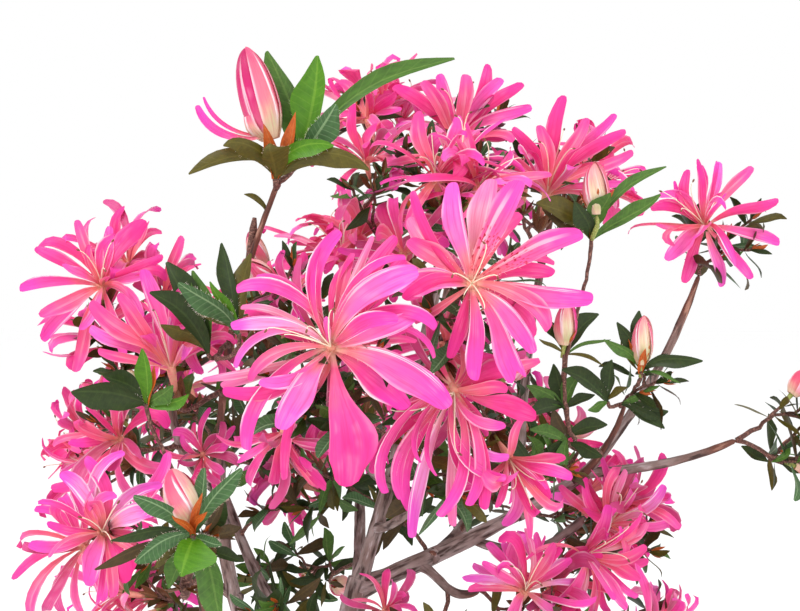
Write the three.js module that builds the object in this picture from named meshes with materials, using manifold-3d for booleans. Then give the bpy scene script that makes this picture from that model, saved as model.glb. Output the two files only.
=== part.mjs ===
// A young strap-petalled azalea, rooted in level ground: a short trunk, its boughs, and the
// masses of leaf and bloom that they carry. Millimetres, +Z up, front towards -Y.
// The origin is the middle of the flat cut under the trunk.
import * as THREE from "three";
import { mergeVertices } from "three/addons/utils/BufferGeometryUtils.js";
import Module from "manifold-3d";

const wasm = await Module();
wasm.setup();

// Driving dimensions.
const TRUNK_SIDES = 14;
const TRUNK_STEPS = 12;
const BOUGH_SIDES = 7;
const BOUGH_STEPS = 6;
const FLARE = 5.5; // how far the root flare stands out of the trunk at the ground
const FLARE_FADE = 9; // height over which most of the flare is gone
const FLARE_RIBS = 3; // surface roots that the flare swells into
const FLARE_RIB_SHARE = 0.35; // how much of the flare is in those ribs
const FIT_GAP = 0.4; // clearance between a limb and whatever is cut round it
const MASS_GAP = 1.4; // space between two neighbouring masses
const MASS_DETAIL = 2; // icosahedron subdivision of a mass
const MASS_LUMPS = 9; // hollows between the sprays that make a mass uneven
const LUMP_DEPTH = 0.42; // the deepest of those hollows, as a share of the mass's half size
const LUMP_SHARPNESS = 7; // how narrow those hollows are
const ENTRY = 0.82; // share of a mass's half size, from its middle, where its bough ends
const WELD = 0.0001; // corners nearer than this are one corner
const LETTERS = 31; // these four turn a name and a count into scattered numbers
const SEEDS = 997;
const STRIDE = 12.9898;
const SCATTER = 43758.5453;

// Wood. A limb starts on its parent's middle line at the share `at`, and ends at `to`: a point, or
// the name of the mass that it enters. `bow` moves the middle of its arc off the straight line.
const LIMBS = {
  trunk: { foot: [0, 0, 0], to: [12, 0, 112], bow: [0, 0, 4], radii: [7.6, 4.1] },
  bough_left: { from: "trunk", at: 0.3, to: [-33, 5, 154], bow: [-13, 13, 2], radii: [3.4, 1.8] },
  bough_middle: { from: "trunk", at: 0.93, to: "top_centre", bow: [3, -1, 0], radii: [2.7, 1.5] },
  bough_right: { from: "trunk", at: 0.96, to: [88, 0, 147], bow: [2, 0, -1], radii: [3.3, 2.0] },
  bough_right_tip: { from: "bough_right", at: 0.97, to: "right_tip", bow: [1, 0, -2], radii: [1.8, 1.2] },
  bough_right_riser: { from: "bough_right", at: 0.95, to: "far_right", bow: [3, 0, -2], radii: [1.8, 1.2] },
  bough_top_right: { from: "bough_right", at: 0.66, to: "top_right", bow: [-2, 9, 0], radii: [2.0, 1.2] },
  bough_right_front: { from: "bough_right", at: 0.9, to: "right_buds", bow: [2, 0, -2], radii: [1.3, 0.8] },
  bough_low_right: { from: "bough_right", at: 0.45, to: "low_right", bow: [2, 6, -6], radii: [1.9, 1.2] },
  bough_low_front: { from: "bough_right", at: 0.25, to: "low_front", bow: [2, -3, -5], radii: [1.8, 1.2] },
  bough_front_right: { from: "bough_middle", at: 0.5, to: "front_right", bow: [0, 3, -6], radii: [1.9, 1.2] },
  bough_front_left: { from: "bough_middle", at: 0.26, to: "front_left", bow: [-2, 2, -5], radii: [1.9, 1.2] },
  bough_pendant: { from: "bough_middle", at: 0.16, to: "pendant", bow: [0, 2, -4], radii: [1.7, 1.2] },
  bough_spray: { from: "bough_left", at: 0.93, to: "bud_spray", bow: [-4, -10, 1], radii: [1.3, 1.0] },
  bough_far_left: { from: "bough_left", at: 0.86, to: "left", bow: [-4, 0, -4], radii: [1.9, 1.3] },
  bough_left_back: { from: "bough_left", at: 0.55, to: "left_back", bow: [-2, 3, -5], radii: [1.9, 1.3] },
  bough_low_left: { from: "trunk", at: 0.36, to: "low_left", bow: [-4, -6, -8], radii: [2.3, 1.3] },
  bough_back_left: { from: "trunk", at: 0.62, to: "back_left", bow: [-3, 6, -8], radii: [2.7, 1.5] },
  bough_back: { from: "trunk", at: 0.8, to: "back", bow: [2, 10, -10], radii: [2.9, 1.6] },
  bough_back_right: { from: "bough_right", at: 0.3, to: "back_right", bow: [0, 7, -6], radii: [2.4, 1.4] },
  bough_back_top: { from: "bough_middle", at: 0.55, to: "back_top", bow: [0, 8, -6], radii: [1.9, 1.2] },
};

// Masses of leaf and bloom: the middle of each and half its size along X, Y and Z.
const MASSES = {
  bud_spray: { middle: [-5, -75, 251], half: [35, 22, 24] },
  top_left: { middle: [20, 20, 259], half: [22, 22, 20] },
  top_centre: { middle: [48, 5, 264], half: [25, 23, 21] },
  top_right: { middle: [75, -10, 248], half: [30, 26, 25] },
  far_right: { middle: [131, -5, 227], half: [27, 24, 24] },
  right_tip: { middle: [149, -3, 160], half: [20, 18, 18] },
  front_right: { middle: [44, -80, 208], half: [32, 20, 29] },
  front_left: { middle: [6, -90, 187], half: [34, 20, 34] },
  pendant: { middle: [41, -65, 157], half: [25, 20, 27] },
  behind_top: { middle: [42, -40, 234], half: [22, 16, 17] },
  behind_left: { middle: [9, -24, 212], half: [24, 16, 15] },
  inner_leaves: { middle: [-8, -48, 202], half: [17, 14, 17] },
  inner_right: { middle: [50, -22, 179], half: [17, 14, 16] },
  left: { middle: [-56, -20, 194], half: [34, 26, 31] },
  left_back: { middle: [-66, 22, 153], half: [26, 24, 22] },
  low_left: { middle: [-40, -75, 138], half: [30, 22, 25] },
  right_bud_pair: { middle: [74, -30, 186], half: [18, 17, 22] },
  right_buds: { middle: [101, -30, 182], half: [20, 16, 21] },
  right_leaves: { middle: [76, -24, 156], half: [20, 16, 15] },
  low_right: { middle: [101, 10, 126], half: [27, 24, 23] },
  low_front: { middle: [64, -24, 105], half: [26, 20, 22] },
  low_right_foot: { middle: [97, -4, 96], half: [22, 20, 16] },
  low_middle: { middle: [33, -22, 99], half: [17, 16, 13] },
  low_inner: { middle: [-5, -24, 103], half: [22, 18, 16] },
  heart: { middle: [-6, 30, 141], half: [22, 18, 22] },
  back_upper_left: { middle: [-24, 45, 187], half: [25, 22, 23] },
  back_left: { middle: [-52, 60, 164], half: [30, 26, 26] },
  back: { middle: [10, 84, 160], half: [31, 25, 29] },
  back_right: { middle: [66, 62, 152], half: [30, 26, 27] },
  back_top: { middle: [48, 58, 225], half: [29, 26, 27] },
  back_top_right: { middle: [86, 32, 240], half: [20, 20, 17] },
  back_low: { middle: [-12, 56, 104], half: [25, 22, 17] },
  back_low_left: { middle: [-57, 33, 100], half: [25, 22, 19] },
  back_low_right: { middle: [88, 48, 127], half: [24, 22, 22] },
};

// Masses that are mostly leaf and bud; the others are mostly open bloom.
const LEAFY = new Set([
  "inner_leaves",
  "inner_right",
  "right_bud_pair",
  "right_buds",
  "right_leaves",
  "right_tip",
  "low_inner",
  "low_middle",
  "back_low",
]);

const bark = new THREE.MeshStandardMaterial({ color: "#6f5b55", roughness: 0.9, metalness: 0 });
const bloom = new THREE.MeshStandardMaterial({ color: "#f2559f", roughness: 0.6, metalness: 0 });
const leaf = new THREE.MeshStandardMaterial({ color: "#4c6b3f", roughness: 0.5, metalness: 0 });

const vector = (xyz) => new THREE.Vector3(...xyz);

// A repeatable stream of numbers from 0 to 1, different for each name.
function stream(name) {
  const seed = [...name].reduce((sum, letter) => sum * LETTERS + letter.charCodeAt(0), 0);
  let count = 0;
  return () => {
    count += 1;
    const value = Math.sin((seed % SEEDS) + count * STRIDE) * SCATTER;
    return value - Math.floor(value);
  };
}

// A closed geometry as a solid that can be joined and cut.
function solidOf(geometry) {
  geometry.deleteAttribute("normal");
  geometry.deleteAttribute("uv");
  const merged = mergeVertices(geometry, WELD);
  return new wasm.Manifold(
    new wasm.Mesh({
      numProp: 3,
      vertProperties: new Float32Array(merged.attributes.position.array),
      triVerts: new Uint32Array(merged.index.array),
    }),
  );
}

// A solid as a geometry that a mesh can show.
function geometryOf(solid) {
  const { numProp, vertProperties, triVerts } = solid.getMesh();
  const geometry = new THREE.BufferGeometry();
  const places = new Float32Array((vertProperties.length / numProp) * 3);
  for (let i = 0; i < places.length / 3; i++) {
    places.set(vertProperties.subarray(i * numProp, i * numProp + 3), i * 3);
  }
  geometry.setAttribute("position", new THREE.BufferAttribute(places, 3));
  geometry.setIndex(new THREE.BufferAttribute(new Uint32Array(triVerts), 1));
  geometry.computeVertexNormals();
  return geometry;
}

// The largest of the bodies that a cut leaves.
function largest(solid) {
  return solid.decompose().sort((a, b) => b.volume() - a.volume())[0];
}

// How far a mass reaches from its middle in a direction, before its neighbours cut it.
function reach(mass, direction) {
  const [x, y, z] = mass.half;
  return 1 / Math.hypot(direction.x / x, direction.y / y, direction.z / z);
}

// Where a limb coming from a point ends inside a mass.
function entry(mass, from) {
  const middle = vector(mass.middle);
  const back = from.clone().sub(middle).normalize();
  return middle.addScaledVector(back, reach(mass, back) * ENTRY);
}

// The middle lines of all the limbs, each one arc, parents first.
const lines = {};
for (const [name, limb] of Object.entries(LIMBS)) {
  const start = limb.foot ? vector(limb.foot) : lines[limb.from].getPoint(limb.at);
  const end = typeof limb.to === "string" ? entry(MASSES[limb.to], start) : vector(limb.to);
  const control = start.clone().add(end).multiplyScalar(0.5).addScaledVector(vector(limb.bow), 2);
  if (limb.foot) {
    control.x = start.x; // the trunk leaves the ground upright, so its cut is level
    control.y = start.y;
  }
  lines[name] = new THREE.QuadraticBezierCurve3(start, control, end);
}

// A tapering round limb: a tapered cylinder bent along its middle line. `spare` fattens it.
function limbSolid(name, spare = 0) {
  const limb = LIMBS[name];
  const line = lines[name];
  const [sides, steps] = limb.foot ? [TRUNK_SIDES, TRUNK_STEPS] : [BOUGH_SIDES, BOUGH_STEPS];
  const [foot, tip] = limb.radii;
  const geometry = new THREE.CylinderGeometry(tip + spare, foot + spare, 1, sides, steps);
  const frames = line.computeFrenetFrames(steps, false);
  const place = geometry.attributes.position;
  for (let i = 0; i < place.count; i++) {
    const along = place.getY(i) + 0.5;
    const ring = Math.round(along * steps);
    const height = along * line.getLength();
    const turn = Math.atan2(place.getZ(i), place.getX(i));
    const rib = 1 - FLARE_RIB_SHARE + FLARE_RIB_SHARE * Math.cos(turn * FLARE_RIBS);
    const radius = Math.hypot(place.getX(i), place.getZ(i));
    const flare = limb.foot ? FLARE * rib * Math.exp(-height / FLARE_FADE) : 0;
    const swell = radius > 0 ? 1 + flare / radius : 1;
    const point = line
      .getPoint(along)
      .addScaledVector(frames.normals[ring], place.getX(i) * swell)
      .addScaledVector(frames.binormals[ring], -place.getZ(i) * swell);
    if (spare > 0) {
      point.addScaledVector(frames.tangents[ring], ring === 0 ? -spare : ring === steps ? spare : 0);
    }
    place.setXYZ(i, point.x, point.y, point.z);
  }
  return solidOf(geometry);
}

// Limbs, each cut to fit the ones made before it.
const limbs = {};
const roomy = {};
for (const name of Object.keys(LIMBS)) {
  let solid = limbSolid(name);
  for (const earlier of Object.values(roomy)) {
    solid = solid.subtract(earlier);
  }
  limbs[name] = largest(solid);
  roomy[name] = limbSolid(name, FIT_GAP);
}

// The half-spaces that keep a mass to its own side of each neighbour.
function bounds(name) {
  const mass = MASSES[name];
  const middle = vector(mass.middle);
  return Object.entries(MASSES)
    .filter(([other]) => other !== name)
    .map(([, neighbour]) => {
      const across = vector(neighbour.middle).sub(middle);
      const distance = across.length();
      across.normalize();
      const own = reach(mass, across);
      const share = own / (own + reach(neighbour, across));
      return { across, limit: distance * share - MASS_GAP / 2 };
    });
}

// One closed, uneven mass: a sphere drawn out to its half sizes, lumped, and held by its bounds.
function massSolid(name) {
  const mass = MASSES[name];
  const random = stream(name);
  const lumps = Array.from({ length: MASS_LUMPS }, () => ({
    way: new THREE.Vector3(random() - 0.5, random() - 0.5, random() - 0.5).normalize(),
    depth: LUMP_DEPTH * random(),
  }));
  const geometry = new THREE.IcosahedronGeometry(1, MASS_DETAIL);
  const place = geometry.attributes.position;
  const sides = bounds(name);
  const direction = new THREE.Vector3();
  for (let i = 0; i < place.count; i++) {
    direction.fromBufferAttribute(place, i).multiply(vector(mass.half)).normalize();
    const hollow = lumps.reduce(
      (sum, lump) => sum + lump.depth * Math.max(0, lump.way.dot(direction)) ** LUMP_SHARPNESS,
      0,
    );
    let radius = reach(mass, direction) * (1 - Math.min(hollow, LUMP_DEPTH));
    for (const { across, limit } of sides) {
      const towards = across.dot(direction);
      if (towards > 0) radius = Math.min(radius, limit / towards);
    }
    const point = vector(mass.middle).addScaledVector(direction, radius);
    place.setXYZ(i, point.x, point.y, point.z);
  }
  let solid = solidOf(geometry);
  for (const limb of Object.values(roomy)) {
    solid = solid.subtract(limb);
  }
  return largest(solid);
}

const shrub = new THREE.Group();
function add(name, solid, material) {
  const mesh = new THREE.Mesh(geometryOf(solid), material);
  mesh.name = name;
  shrub.add(mesh);
}
for (const [name, solid] of Object.entries(limbs)) add(name, solid, bark);
for (const name of Object.keys(MASSES)) {
  add(`mass_${name}`, massSolid(name), LEAFY.has(name) ? leaf : bloom);
}

export default shrub;
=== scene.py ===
# %% [markdown]
# # A strap-petalled azalea
#
# A young garden azalea whose petals are split into straps, so each bloom looks like a loose star.
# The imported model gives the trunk, the boughs and one rough solid for each mass of growth. This
# lesson grows the plant over that frame: bark, twigs, leaves, buds and blooms.

# %% The frame
import math

import bmesh
import bpy
import numpy as np
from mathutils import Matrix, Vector, noise


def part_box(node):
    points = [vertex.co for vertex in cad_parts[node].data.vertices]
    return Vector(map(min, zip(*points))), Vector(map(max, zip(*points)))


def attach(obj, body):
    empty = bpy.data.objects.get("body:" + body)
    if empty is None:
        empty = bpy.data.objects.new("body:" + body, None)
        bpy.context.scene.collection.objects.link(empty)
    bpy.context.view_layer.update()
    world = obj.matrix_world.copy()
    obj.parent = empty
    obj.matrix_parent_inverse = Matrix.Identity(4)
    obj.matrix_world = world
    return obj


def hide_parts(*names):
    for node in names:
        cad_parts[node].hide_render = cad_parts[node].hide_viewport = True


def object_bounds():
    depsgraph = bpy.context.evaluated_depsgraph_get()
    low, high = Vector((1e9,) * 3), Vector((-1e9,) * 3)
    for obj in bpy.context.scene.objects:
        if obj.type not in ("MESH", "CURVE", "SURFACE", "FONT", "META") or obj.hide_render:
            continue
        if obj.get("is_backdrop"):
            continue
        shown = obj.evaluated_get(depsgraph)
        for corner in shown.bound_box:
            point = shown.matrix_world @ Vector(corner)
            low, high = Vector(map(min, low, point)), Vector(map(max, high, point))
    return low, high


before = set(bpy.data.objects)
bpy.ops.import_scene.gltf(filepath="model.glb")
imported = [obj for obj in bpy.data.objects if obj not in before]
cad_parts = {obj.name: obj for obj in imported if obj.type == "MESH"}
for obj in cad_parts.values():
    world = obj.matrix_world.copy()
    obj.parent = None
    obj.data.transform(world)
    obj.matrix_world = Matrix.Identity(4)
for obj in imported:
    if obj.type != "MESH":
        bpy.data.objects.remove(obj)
cad_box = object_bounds()
MM = 0.001
LIMBS = [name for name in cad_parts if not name.startswith("mass_")]
MASSES = [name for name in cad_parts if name.startswith("mass_")]
print(len(LIMBS), "limbs and", len(MASSES), "masses")

# %% [markdown]
# ## Camera, floor and light
#
# A plant with this much pink in it needs plain, true colour, so the view is set to Standard: the
# film-like views wash pink out. The light is what a white tent gives, with a white world all
# round, a big soft lamp at the upper left and a weaker one from the right. A long lens at half a
# metre keeps the near blooms from looking too large.

# %% Camera
scene = bpy.context.scene
scene.view_settings.view_transform = "Standard"
camera = bpy.data.objects.new("camera", bpy.data.cameras.new("camera"))
camera.data.lens = 72.3
camera.data.sensor_width = 36
camera.location = (0.025, -0.520, 0.200)
camera.rotation_euler = (math.radians(90), 0, 0)
scene.collection.objects.link(camera)
scene.camera = camera
print("camera at", tuple(round(x, 3) for x in camera.location))


# %% [markdown]
# ## Two small helpers
#
# Colours are easiest to choose as hex codes, but the shader wants linear light, so one function
# turns one into the other. The other adds a node, sets it up and joins its inputs in one call. An
# input may be a number, a colour, a socket or a whole node, which gives its first output in use.

# %% Helpers for materials
def linear(code):
    """The linear colour, with alpha, of an sRGB hex code such as #F2559F."""
    shares = [int(code[i : i + 2], 16) / 255 for i in (1, 3, 5)]
    curve = [s / 12.92 if s <= 0.04045 else ((s + 0.055) / 1.055) ** 2.4 for s in shares]
    return (*curve, 1.0)


def add(tree, kind, inputs=None, stops=None, **settings):
    """A new shader node: its kind and settings, its inputs set or joined, and a ramp's stops."""
    made = tree.nodes.new("ShaderNode" + kind)
    for key, value in settings.items():
        setattr(made, key, value)
    for key, value in (inputs or {}).items():
        if isinstance(value, bpy.types.Node):
            value = next(socket for socket in value.outputs if socket.enabled)
        if isinstance(value, bpy.types.NodeSocket):
            tree.links.new(value, made.inputs[key])
        else:
            made.inputs[key].default_value = value
    if stops:
        ramp = made.color_ramp
        while len(ramp.elements) < len(stops):
            ramp.elements.new(1.0)
        for element, (place, colour) in zip(ramp.elements, stops):
            element.position = place
            element.color = colour
    return made


def new_material(name):
    """An empty material, its tree and its output node."""
    material = bpy.data.materials.new(name)
    material.use_nodes = True
    tree = material.node_tree
    tree.nodes.clear()
    return material, tree, add(tree, "OutputMaterial")


# %% Floor and light
world = bpy.data.worlds.new("white tent")
world.use_nodes = True
world.node_tree.nodes["Background"].inputs["Color"].default_value = linear("#FFFFFF")
world.node_tree.nodes["Background"].inputs["Strength"].default_value = 1.0
scene.world = world


def lamp(name, place, aim, size, power):
    """A square area lamp at a place, aimed at another, with its size in metres."""
    made = bpy.data.objects.new(name, bpy.data.lights.new(name, "AREA"))
    made.data.size = size
    made.data.energy = power
    made.location = place
    made.rotation_euler = (Vector(aim) - Vector(place)).to_track_quat("-Z", "Y").to_euler()
    scene.collection.objects.link(made)


lamp("key", (-0.7, -0.9, 1.2), (0.02, 0, 0.18), 0.5, 13)
lamp("fill", (0.9, -0.8, 0.5), (0.02, 0, 0.16), 0.8, 4)

plate = bmesh.new()
bmesh.ops.create_grid(plate, x_segments=1, y_segments=1, size=12)
floor_mesh = bpy.data.meshes.new("floor")
plate.to_mesh(floor_mesh)
plate.free()
floor = bpy.data.objects.new("floor", floor_mesh)
scene.collection.objects.link(floor)
floor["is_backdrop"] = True
paper, tree, out = new_material("matt white studio paper")
shader = add(tree, "BsdfPrincipled", {"Base Color": linear("#FFFFFF"), "Roughness": 0.9})
tree.links.new(shader.outputs[0], out.inputs["Surface"])
floor_mesh.materials.append(paper)
print("lit and floored")

# %% [markdown]
# ## Reading the limbs back
#
# Twigs have to start on the boughs, so the script needs each limb's middle line. The frame only
# gives meshes. Each one is sliced across its own long axis, the middle and radius of every slice
# are measured, and a cubic is fitted through them. A cubic is smooth, and it can be followed a
# little way past either end, which roots a bough inside its parent.

# %% Middle lines of the limbs
SLICES = 14
ROOT = 4.0  # how far a bough is carried on into its parent, mm


def unit(vector):
    """A vector of length 1."""
    return np.asarray(vector, float) / np.linalg.norm(vector)


def slice_middle(ends, heights, level):
    """The middle of the ring where edges cross a level, and its mean radius."""
    low, high = heights[:, 0] - level, heights[:, 1] - level
    crossing = low * high < 0
    share = (low / (low - high))[crossing][:, None]
    ring = ends[crossing, 0] * (1 - share) + ends[crossing, 1] * share
    middle = ring.mean(axis=0)
    return middle, np.linalg.norm(ring - middle, axis=1).mean()


def middle_line(name):
    """A limb as (line, radius): two functions of a share, 0 at its thick end and 1 at its tip."""
    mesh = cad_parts[name].data
    corners = np.array([v.co for v in mesh.vertices]) / MM
    ends = corners[np.array([e.vertices for e in mesh.edges])]
    axis = np.linalg.svd(corners - corners.mean(axis=0), full_matrices=False)[2][0]
    heights = ends @ axis
    span = heights.min(), heights.max()
    levels = span[0] + (span[1] - span[0]) * np.linspace(0.06, 0.94, SLICES)
    rings = [slice_middle(ends, heights, level) for level in levels]
    if rings[0][1] < rings[-1][1]:
        levels, rings, span = levels[::-1], rings[::-1], span[::-1]
    share = (levels - span[0]) / (span[1] - span[0])
    place = [np.polyfit(share, [ring[0][i] for ring in rings], 3) for i in range(3)]
    thick = np.polyfit(share, [ring[1] for ring in rings], 1)

    def line(at):
        return np.stack([np.polyval(p, at) for p in place], axis=-1)

    return line, lambda at: np.polyval(thick, at)


limb_lines = {name: middle_line(name) for name in LIMBS}
for name, (line, radius) in list(limb_lines.items())[:4]:
    print(name, line(0.0).round(1), line(1.0).round(1), round(float(radius(0.5)), 2))

# %% [markdown]
# ## Bark in relief
#
# The wood of a young azalea is thin, grey-brown and finely split along its length, and it flakes.
# A texture alone would leave the limb's edge perfectly smooth, so the relief is in the mesh. Each
# limb starts as a flat grid of squares, which is wrapped round its middle line, and noise that is
# stretched along the limb lifts and sinks every corner. The trunk also gets its root flare. Each
# corner also keeps its place on the straightened limb, so that the bark's colours can follow it.

# %% Trunk and boughs
FLARE = 5.5  # how far the root flare stands out at the ground, mm
FLARE_FADE = 9.0  # height over which most of it is gone, mm
FISSURE = 2.2  # width of a strip of bark, mm
COLLAR = 0.15  # how much thicker a bough is where it leaves its parent
KNOTTY = 3.0  # how much rougher the thinnest limbs are, for their size
TIP_TAPER = 0.35  # how much of its radius a bough loses over its last quarter


def frame_along(points):
    """Two cross directions along a line of points."""
    tangent = np.gradient(points, axis=0)
    tangent /= np.linalg.norm(tangent, axis=1)[:, None]
    axis = np.eye(3)[np.abs(tangent.mean(axis=0)).argmin()]
    across = np.cross(tangent, axis)
    across /= np.linalg.norm(across, axis=1)[:, None]
    return across, np.cross(tangent, across)


def wrap_limb(bm, name, strip, strips):
    """Adds one limb to a bmesh: a grid wrapped round its middle line, with bark relief."""
    line, radius = limb_lines[name]
    trunk = name == "trunk"
    length = np.linalg.norm(np.diff(line(np.linspace(0, 1, 20)), axis=0), axis=1).sum()
    sides = 56 if trunk else 22
    rings = int(length / 0.9)
    start = 0.0 if trunk else -ROOT / length
    share = np.linspace(start, 1.0, rings + 1)
    points = line(share)
    if trunk:
        points[:, 2] -= points[0, 2] * (1 - share) ** 8
        points[0, 2] = 0.0
    across, up = frame_along(points)
    grid = bmesh.ops.create_grid(
        bm, x_segments=sides, y_segments=rings, size=1, calc_uvs=True
    )["verts"]
    layer = bm.loops.layers.uv["OFBake"]
    straight = bm.verts.layers.float_vector["straightened"]
    for face in {f for v in grid for f in v.link_faces}:
        for loop in face.loops:
            loop[layer].uv.x = (strip + 0.03 + 0.94 * loop[layer].uv.x) / strips
    for vertex in grid:
        turn = (vertex.co.x + 1) * math.pi
        ring = round((vertex.co.y + 1) / 2 * rings)
        height = share[ring] * length
        size = float(radius(share[ring]))
        size *= 1 + (0 if trunk else COLLAR * math.exp(-max(height, 0) / (size * 1.2)))
        size *= 1 - (0 if trunk else TIP_TAPER * max(0, 4 * share[ring] - 3) ** 2)
        if trunk:
            rib = 0.65 + 0.35 * math.cos(3 * turn)
            size += FLARE * rib * math.exp(-height / FLARE_FADE)
        ring_way = across[ring] * math.cos(turn) + up[ring] * math.sin(turn)
        along = Vector((size * math.cos(turn), size * math.sin(turn), height + 100 * strip))
        vertex[straight] = along
        finely = Vector((along.x, along.y, along.z / 5)) / FISSURE
        lift = 0.075 * noise.noise(finely) + 0.05 * noise.noise(finely * 2.7)
        lift += 0.10 * noise.noise(along / 14) - 0.05 * abs(noise.noise(finely * 1.6))
        lift *= 1 + KNOTTY * max(0, 1 - size / 2.2)
        if ring == 0 or ring == rings:
            size = 0.0 if trunk or ring == 0 else size * 0.35
        place = points[ring] + ring_way * size * (1 + lift)
        if trunk and ring <= 1:
            place[2] = 0.0
        vertex.co = place * MM


bark_bm = bmesh.new()
bark_bm.loops.layers.uv.new("OFBake")
bark_bm.verts.layers.float_vector.new("straightened")
for strip, name in enumerate(LIMBS):
    wrap_limb(bark_bm, name, strip, len(LIMBS))
bmesh.ops.remove_doubles(bark_bm, verts=bark_bm.verts, dist=0.00002)
for face in bark_bm.faces:
    face.smooth = True
bmesh.ops.recalc_face_normals(bark_bm, faces=bark_bm.faces)
bark_mesh = bpy.data.meshes.new("trunk_and_boughs")
bark_bm.to_mesh(bark_mesh)
bark_bm.free()
bark = bpy.data.objects.new("trunk_and_boughs", bark_mesh)
scene.collection.objects.link(bark)
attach(bark, "root")
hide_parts(*LIMBS)
print(len(bark_mesh.polygons), "faces of bark")

# %% [markdown]
# ## One blade for every petal, leaf and bract
#
# A strap petal, a leaf and a papery bract are the same thing to a modeller: a thin sheet on a
# curved path, with an outline and a hollow across it. There are thousands of them, so they are
# worked out as arrays, with a few faces each, and joined. Every blade uses one upright strip of
# the texture square, and the strip's number chooses its colours. That keeps all the colours in
# one material, and the pattern always runs from the foot of the blade to its tip.

# %% The blade
# Outline of each form: width of the foot, where it is widest, how it swells, width left at the
# end, and how round and how notched the end is.
FORMS = {
    "broad": (0.10, 0.82, 1.9, 0.74, 1.3, 0.00),
    "strap": (0.20, 0.66, 1.35, 0.62, 0.9, 0.00),
    "slim": (0.34, 0.55, 1.0, 0.40, 0.9, 0.00),
    "notched": (0.18, 0.85, 1.4, 0.90, 0.5, 0.10),
    "leaf": (0.10, 0.54, 0.95, 0.16, 0.9, 0.00),
    "round_leaf": (0.10, 0.60, 0.95, 0.34, 0.9, 0.00),
    "scale": (0.55, 0.35, 1.0, 0.03, 0.2, 0.00),
}
STRIPS = 14  # strips of the texture square
UNEVEN = 0.13  # how uneven the outline is, as a share of the half width
ROLLED = 0.35  # how much more one edge rolls in than the other


def cubic(h0, h1, h2, h3, a):
    """The places at shares `a` of a cubic with four handles."""
    b = 1 - a
    return b**3 * h0 + 3 * b * b * a * h1 + 3 * b * a * a * h2 + a**3 * h3


def grid_squares(rows, across):
    """The corners of each square of a grid whose corners are numbered row by row."""
    i, j = np.meshgrid(np.arange(rows), np.arange(across), indexing="ij")
    corner = (i * (across + 1) + j).ravel()
    return np.stack([corner, corner + across + 1, corner + across + 2, corner + 1], axis=1)


def strip_square(strip, u, t):
    """Texture places on a strip: u is -1 to 1 across it, and t is 0 to 1 along it."""
    places = np.stack([(strip + 0.5 + 0.46 * u) / STRIPS, 0.01 + 0.98 * t], axis=-1)
    return places.reshape(-1, 2)


def blade(handles, side, width, form, strip, bend=0.3, roll=0.0, twist=0.0, wave=0.0,
          steps=9, across=4):
    """A sheet along a cubic path: its corners, its squares and their texture places.

    Its tip's place decides which edge rolls in more, and where its outline is uneven."""
    foot, widest, swell, end, rounding, notch = FORMS[form]
    h0, h1, h2, h3 = (np.asarray(h, float) for h in handles)
    odd = h3.sum() % 1.0
    hand = 1 if odd < 0.5 else -1
    t, u = np.meshgrid(
        np.linspace(0, 1, steps + 1), np.linspace(-1, 1, across + 1), indexing="ij"
    )
    outline = foot + (1 - foot) * np.sin(np.pi / 2 * np.minimum(1, t / widest)) ** swell
    past = np.clip((t - widest) / (1 - widest), 0, 1)
    half = width / 2 * outline * (1 - (1 - end) * past**2)
    half = half * (1 + UNEVEN * u * np.sin(2 * np.pi * (1.4 * t + odd)))
    reach = np.linalg.norm(h3 - h0)
    short = rounding * end * width / 2 / reach * (1 - np.sqrt(1 - (0.97 * u) ** 2))
    short = short + notch * np.exp(-((u / 0.35) ** 2))
    a = (t * (1 - short * t**2))[..., None]
    b = 1 - a
    place = cubic(h0, h1, h2, h3, a)
    run = b * b * (h1 - h0) + 2 * b * a * (h2 - h1) + a * a * (h3 - h2)
    run /= np.linalg.norm(run, axis=-1, keepdims=True) + 1e-9
    flat = side - (run @ side)[..., None] * run
    flat /= np.linalg.norm(flat, axis=-1, keepdims=True) + 1e-9
    proud = np.cross(run, flat)
    angle = (roll + twist * t)[..., None]
    flat, proud = (
        flat * np.cos(angle) + proud * np.sin(angle),
        proud * np.cos(angle) - flat * np.sin(angle),
    )
    gutter = (bend if abs(bend) > 0.01 else 0.01) * (1.5 - 0.8 * t)
    curl = gutter * u * (1 + ROLLED * hand * u)
    sideways = half * np.sin(curl) / gutter
    upwards = half * (1 - np.cos(curl)) / gutter
    upwards = upwards + wave * half * u * np.sin(2.2 * np.pi * t + 6 * odd)
    corners = (place + flat * sideways[..., None] + proud * upwards[..., None]).reshape(-1, 3)
    return corners, grid_squares(steps, across), strip_square(strip, u * hand, t)


def tube(points, radii, strip, sides=6):
    """A closed round stalk through points, with a radius at each."""
    points = np.asarray(points, float)
    points = np.concatenate([points[:1], points, points[-1:]])
    radii = np.concatenate([[0.0], radii, [0.0]])
    across, up = frame_along(points[1:-1])
    across = np.concatenate([across[:1], across, across[-1:]])
    up = np.concatenate([up[:1], up, up[-1:]])
    turn = np.linspace(0, 2 * np.pi, sides + 1)
    ring = across[:, None] * np.cos(turn)[:, None] + up[:, None] * np.sin(turn)[:, None]
    corners = (points[:, None] + ring * radii[:, None, None]).reshape(-1, 3)
    squares = grid_squares(len(points) - 1, sides)[:, [0, 3, 2, 1]]
    along = np.linspace(0.01, 0.99, len(points))[:, None] + 0 * turn
    round_it = (strip + 0.04 + 0.92 * turn / (2 * np.pi)) / STRIPS + 0 * along
    return corners, squares, np.stack([round_it, along], axis=-1).reshape(-1, 2)


def arc(h0, h1, h2, h3, steps):
    """Points along a cubic with four handles."""
    handles = (np.asarray(h, float) for h in (h0, h1, h2, h3))
    return cubic(*handles, np.linspace(0, 1, steps + 1)[:, None])


print(len(FORMS), "forms of blade")

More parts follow.
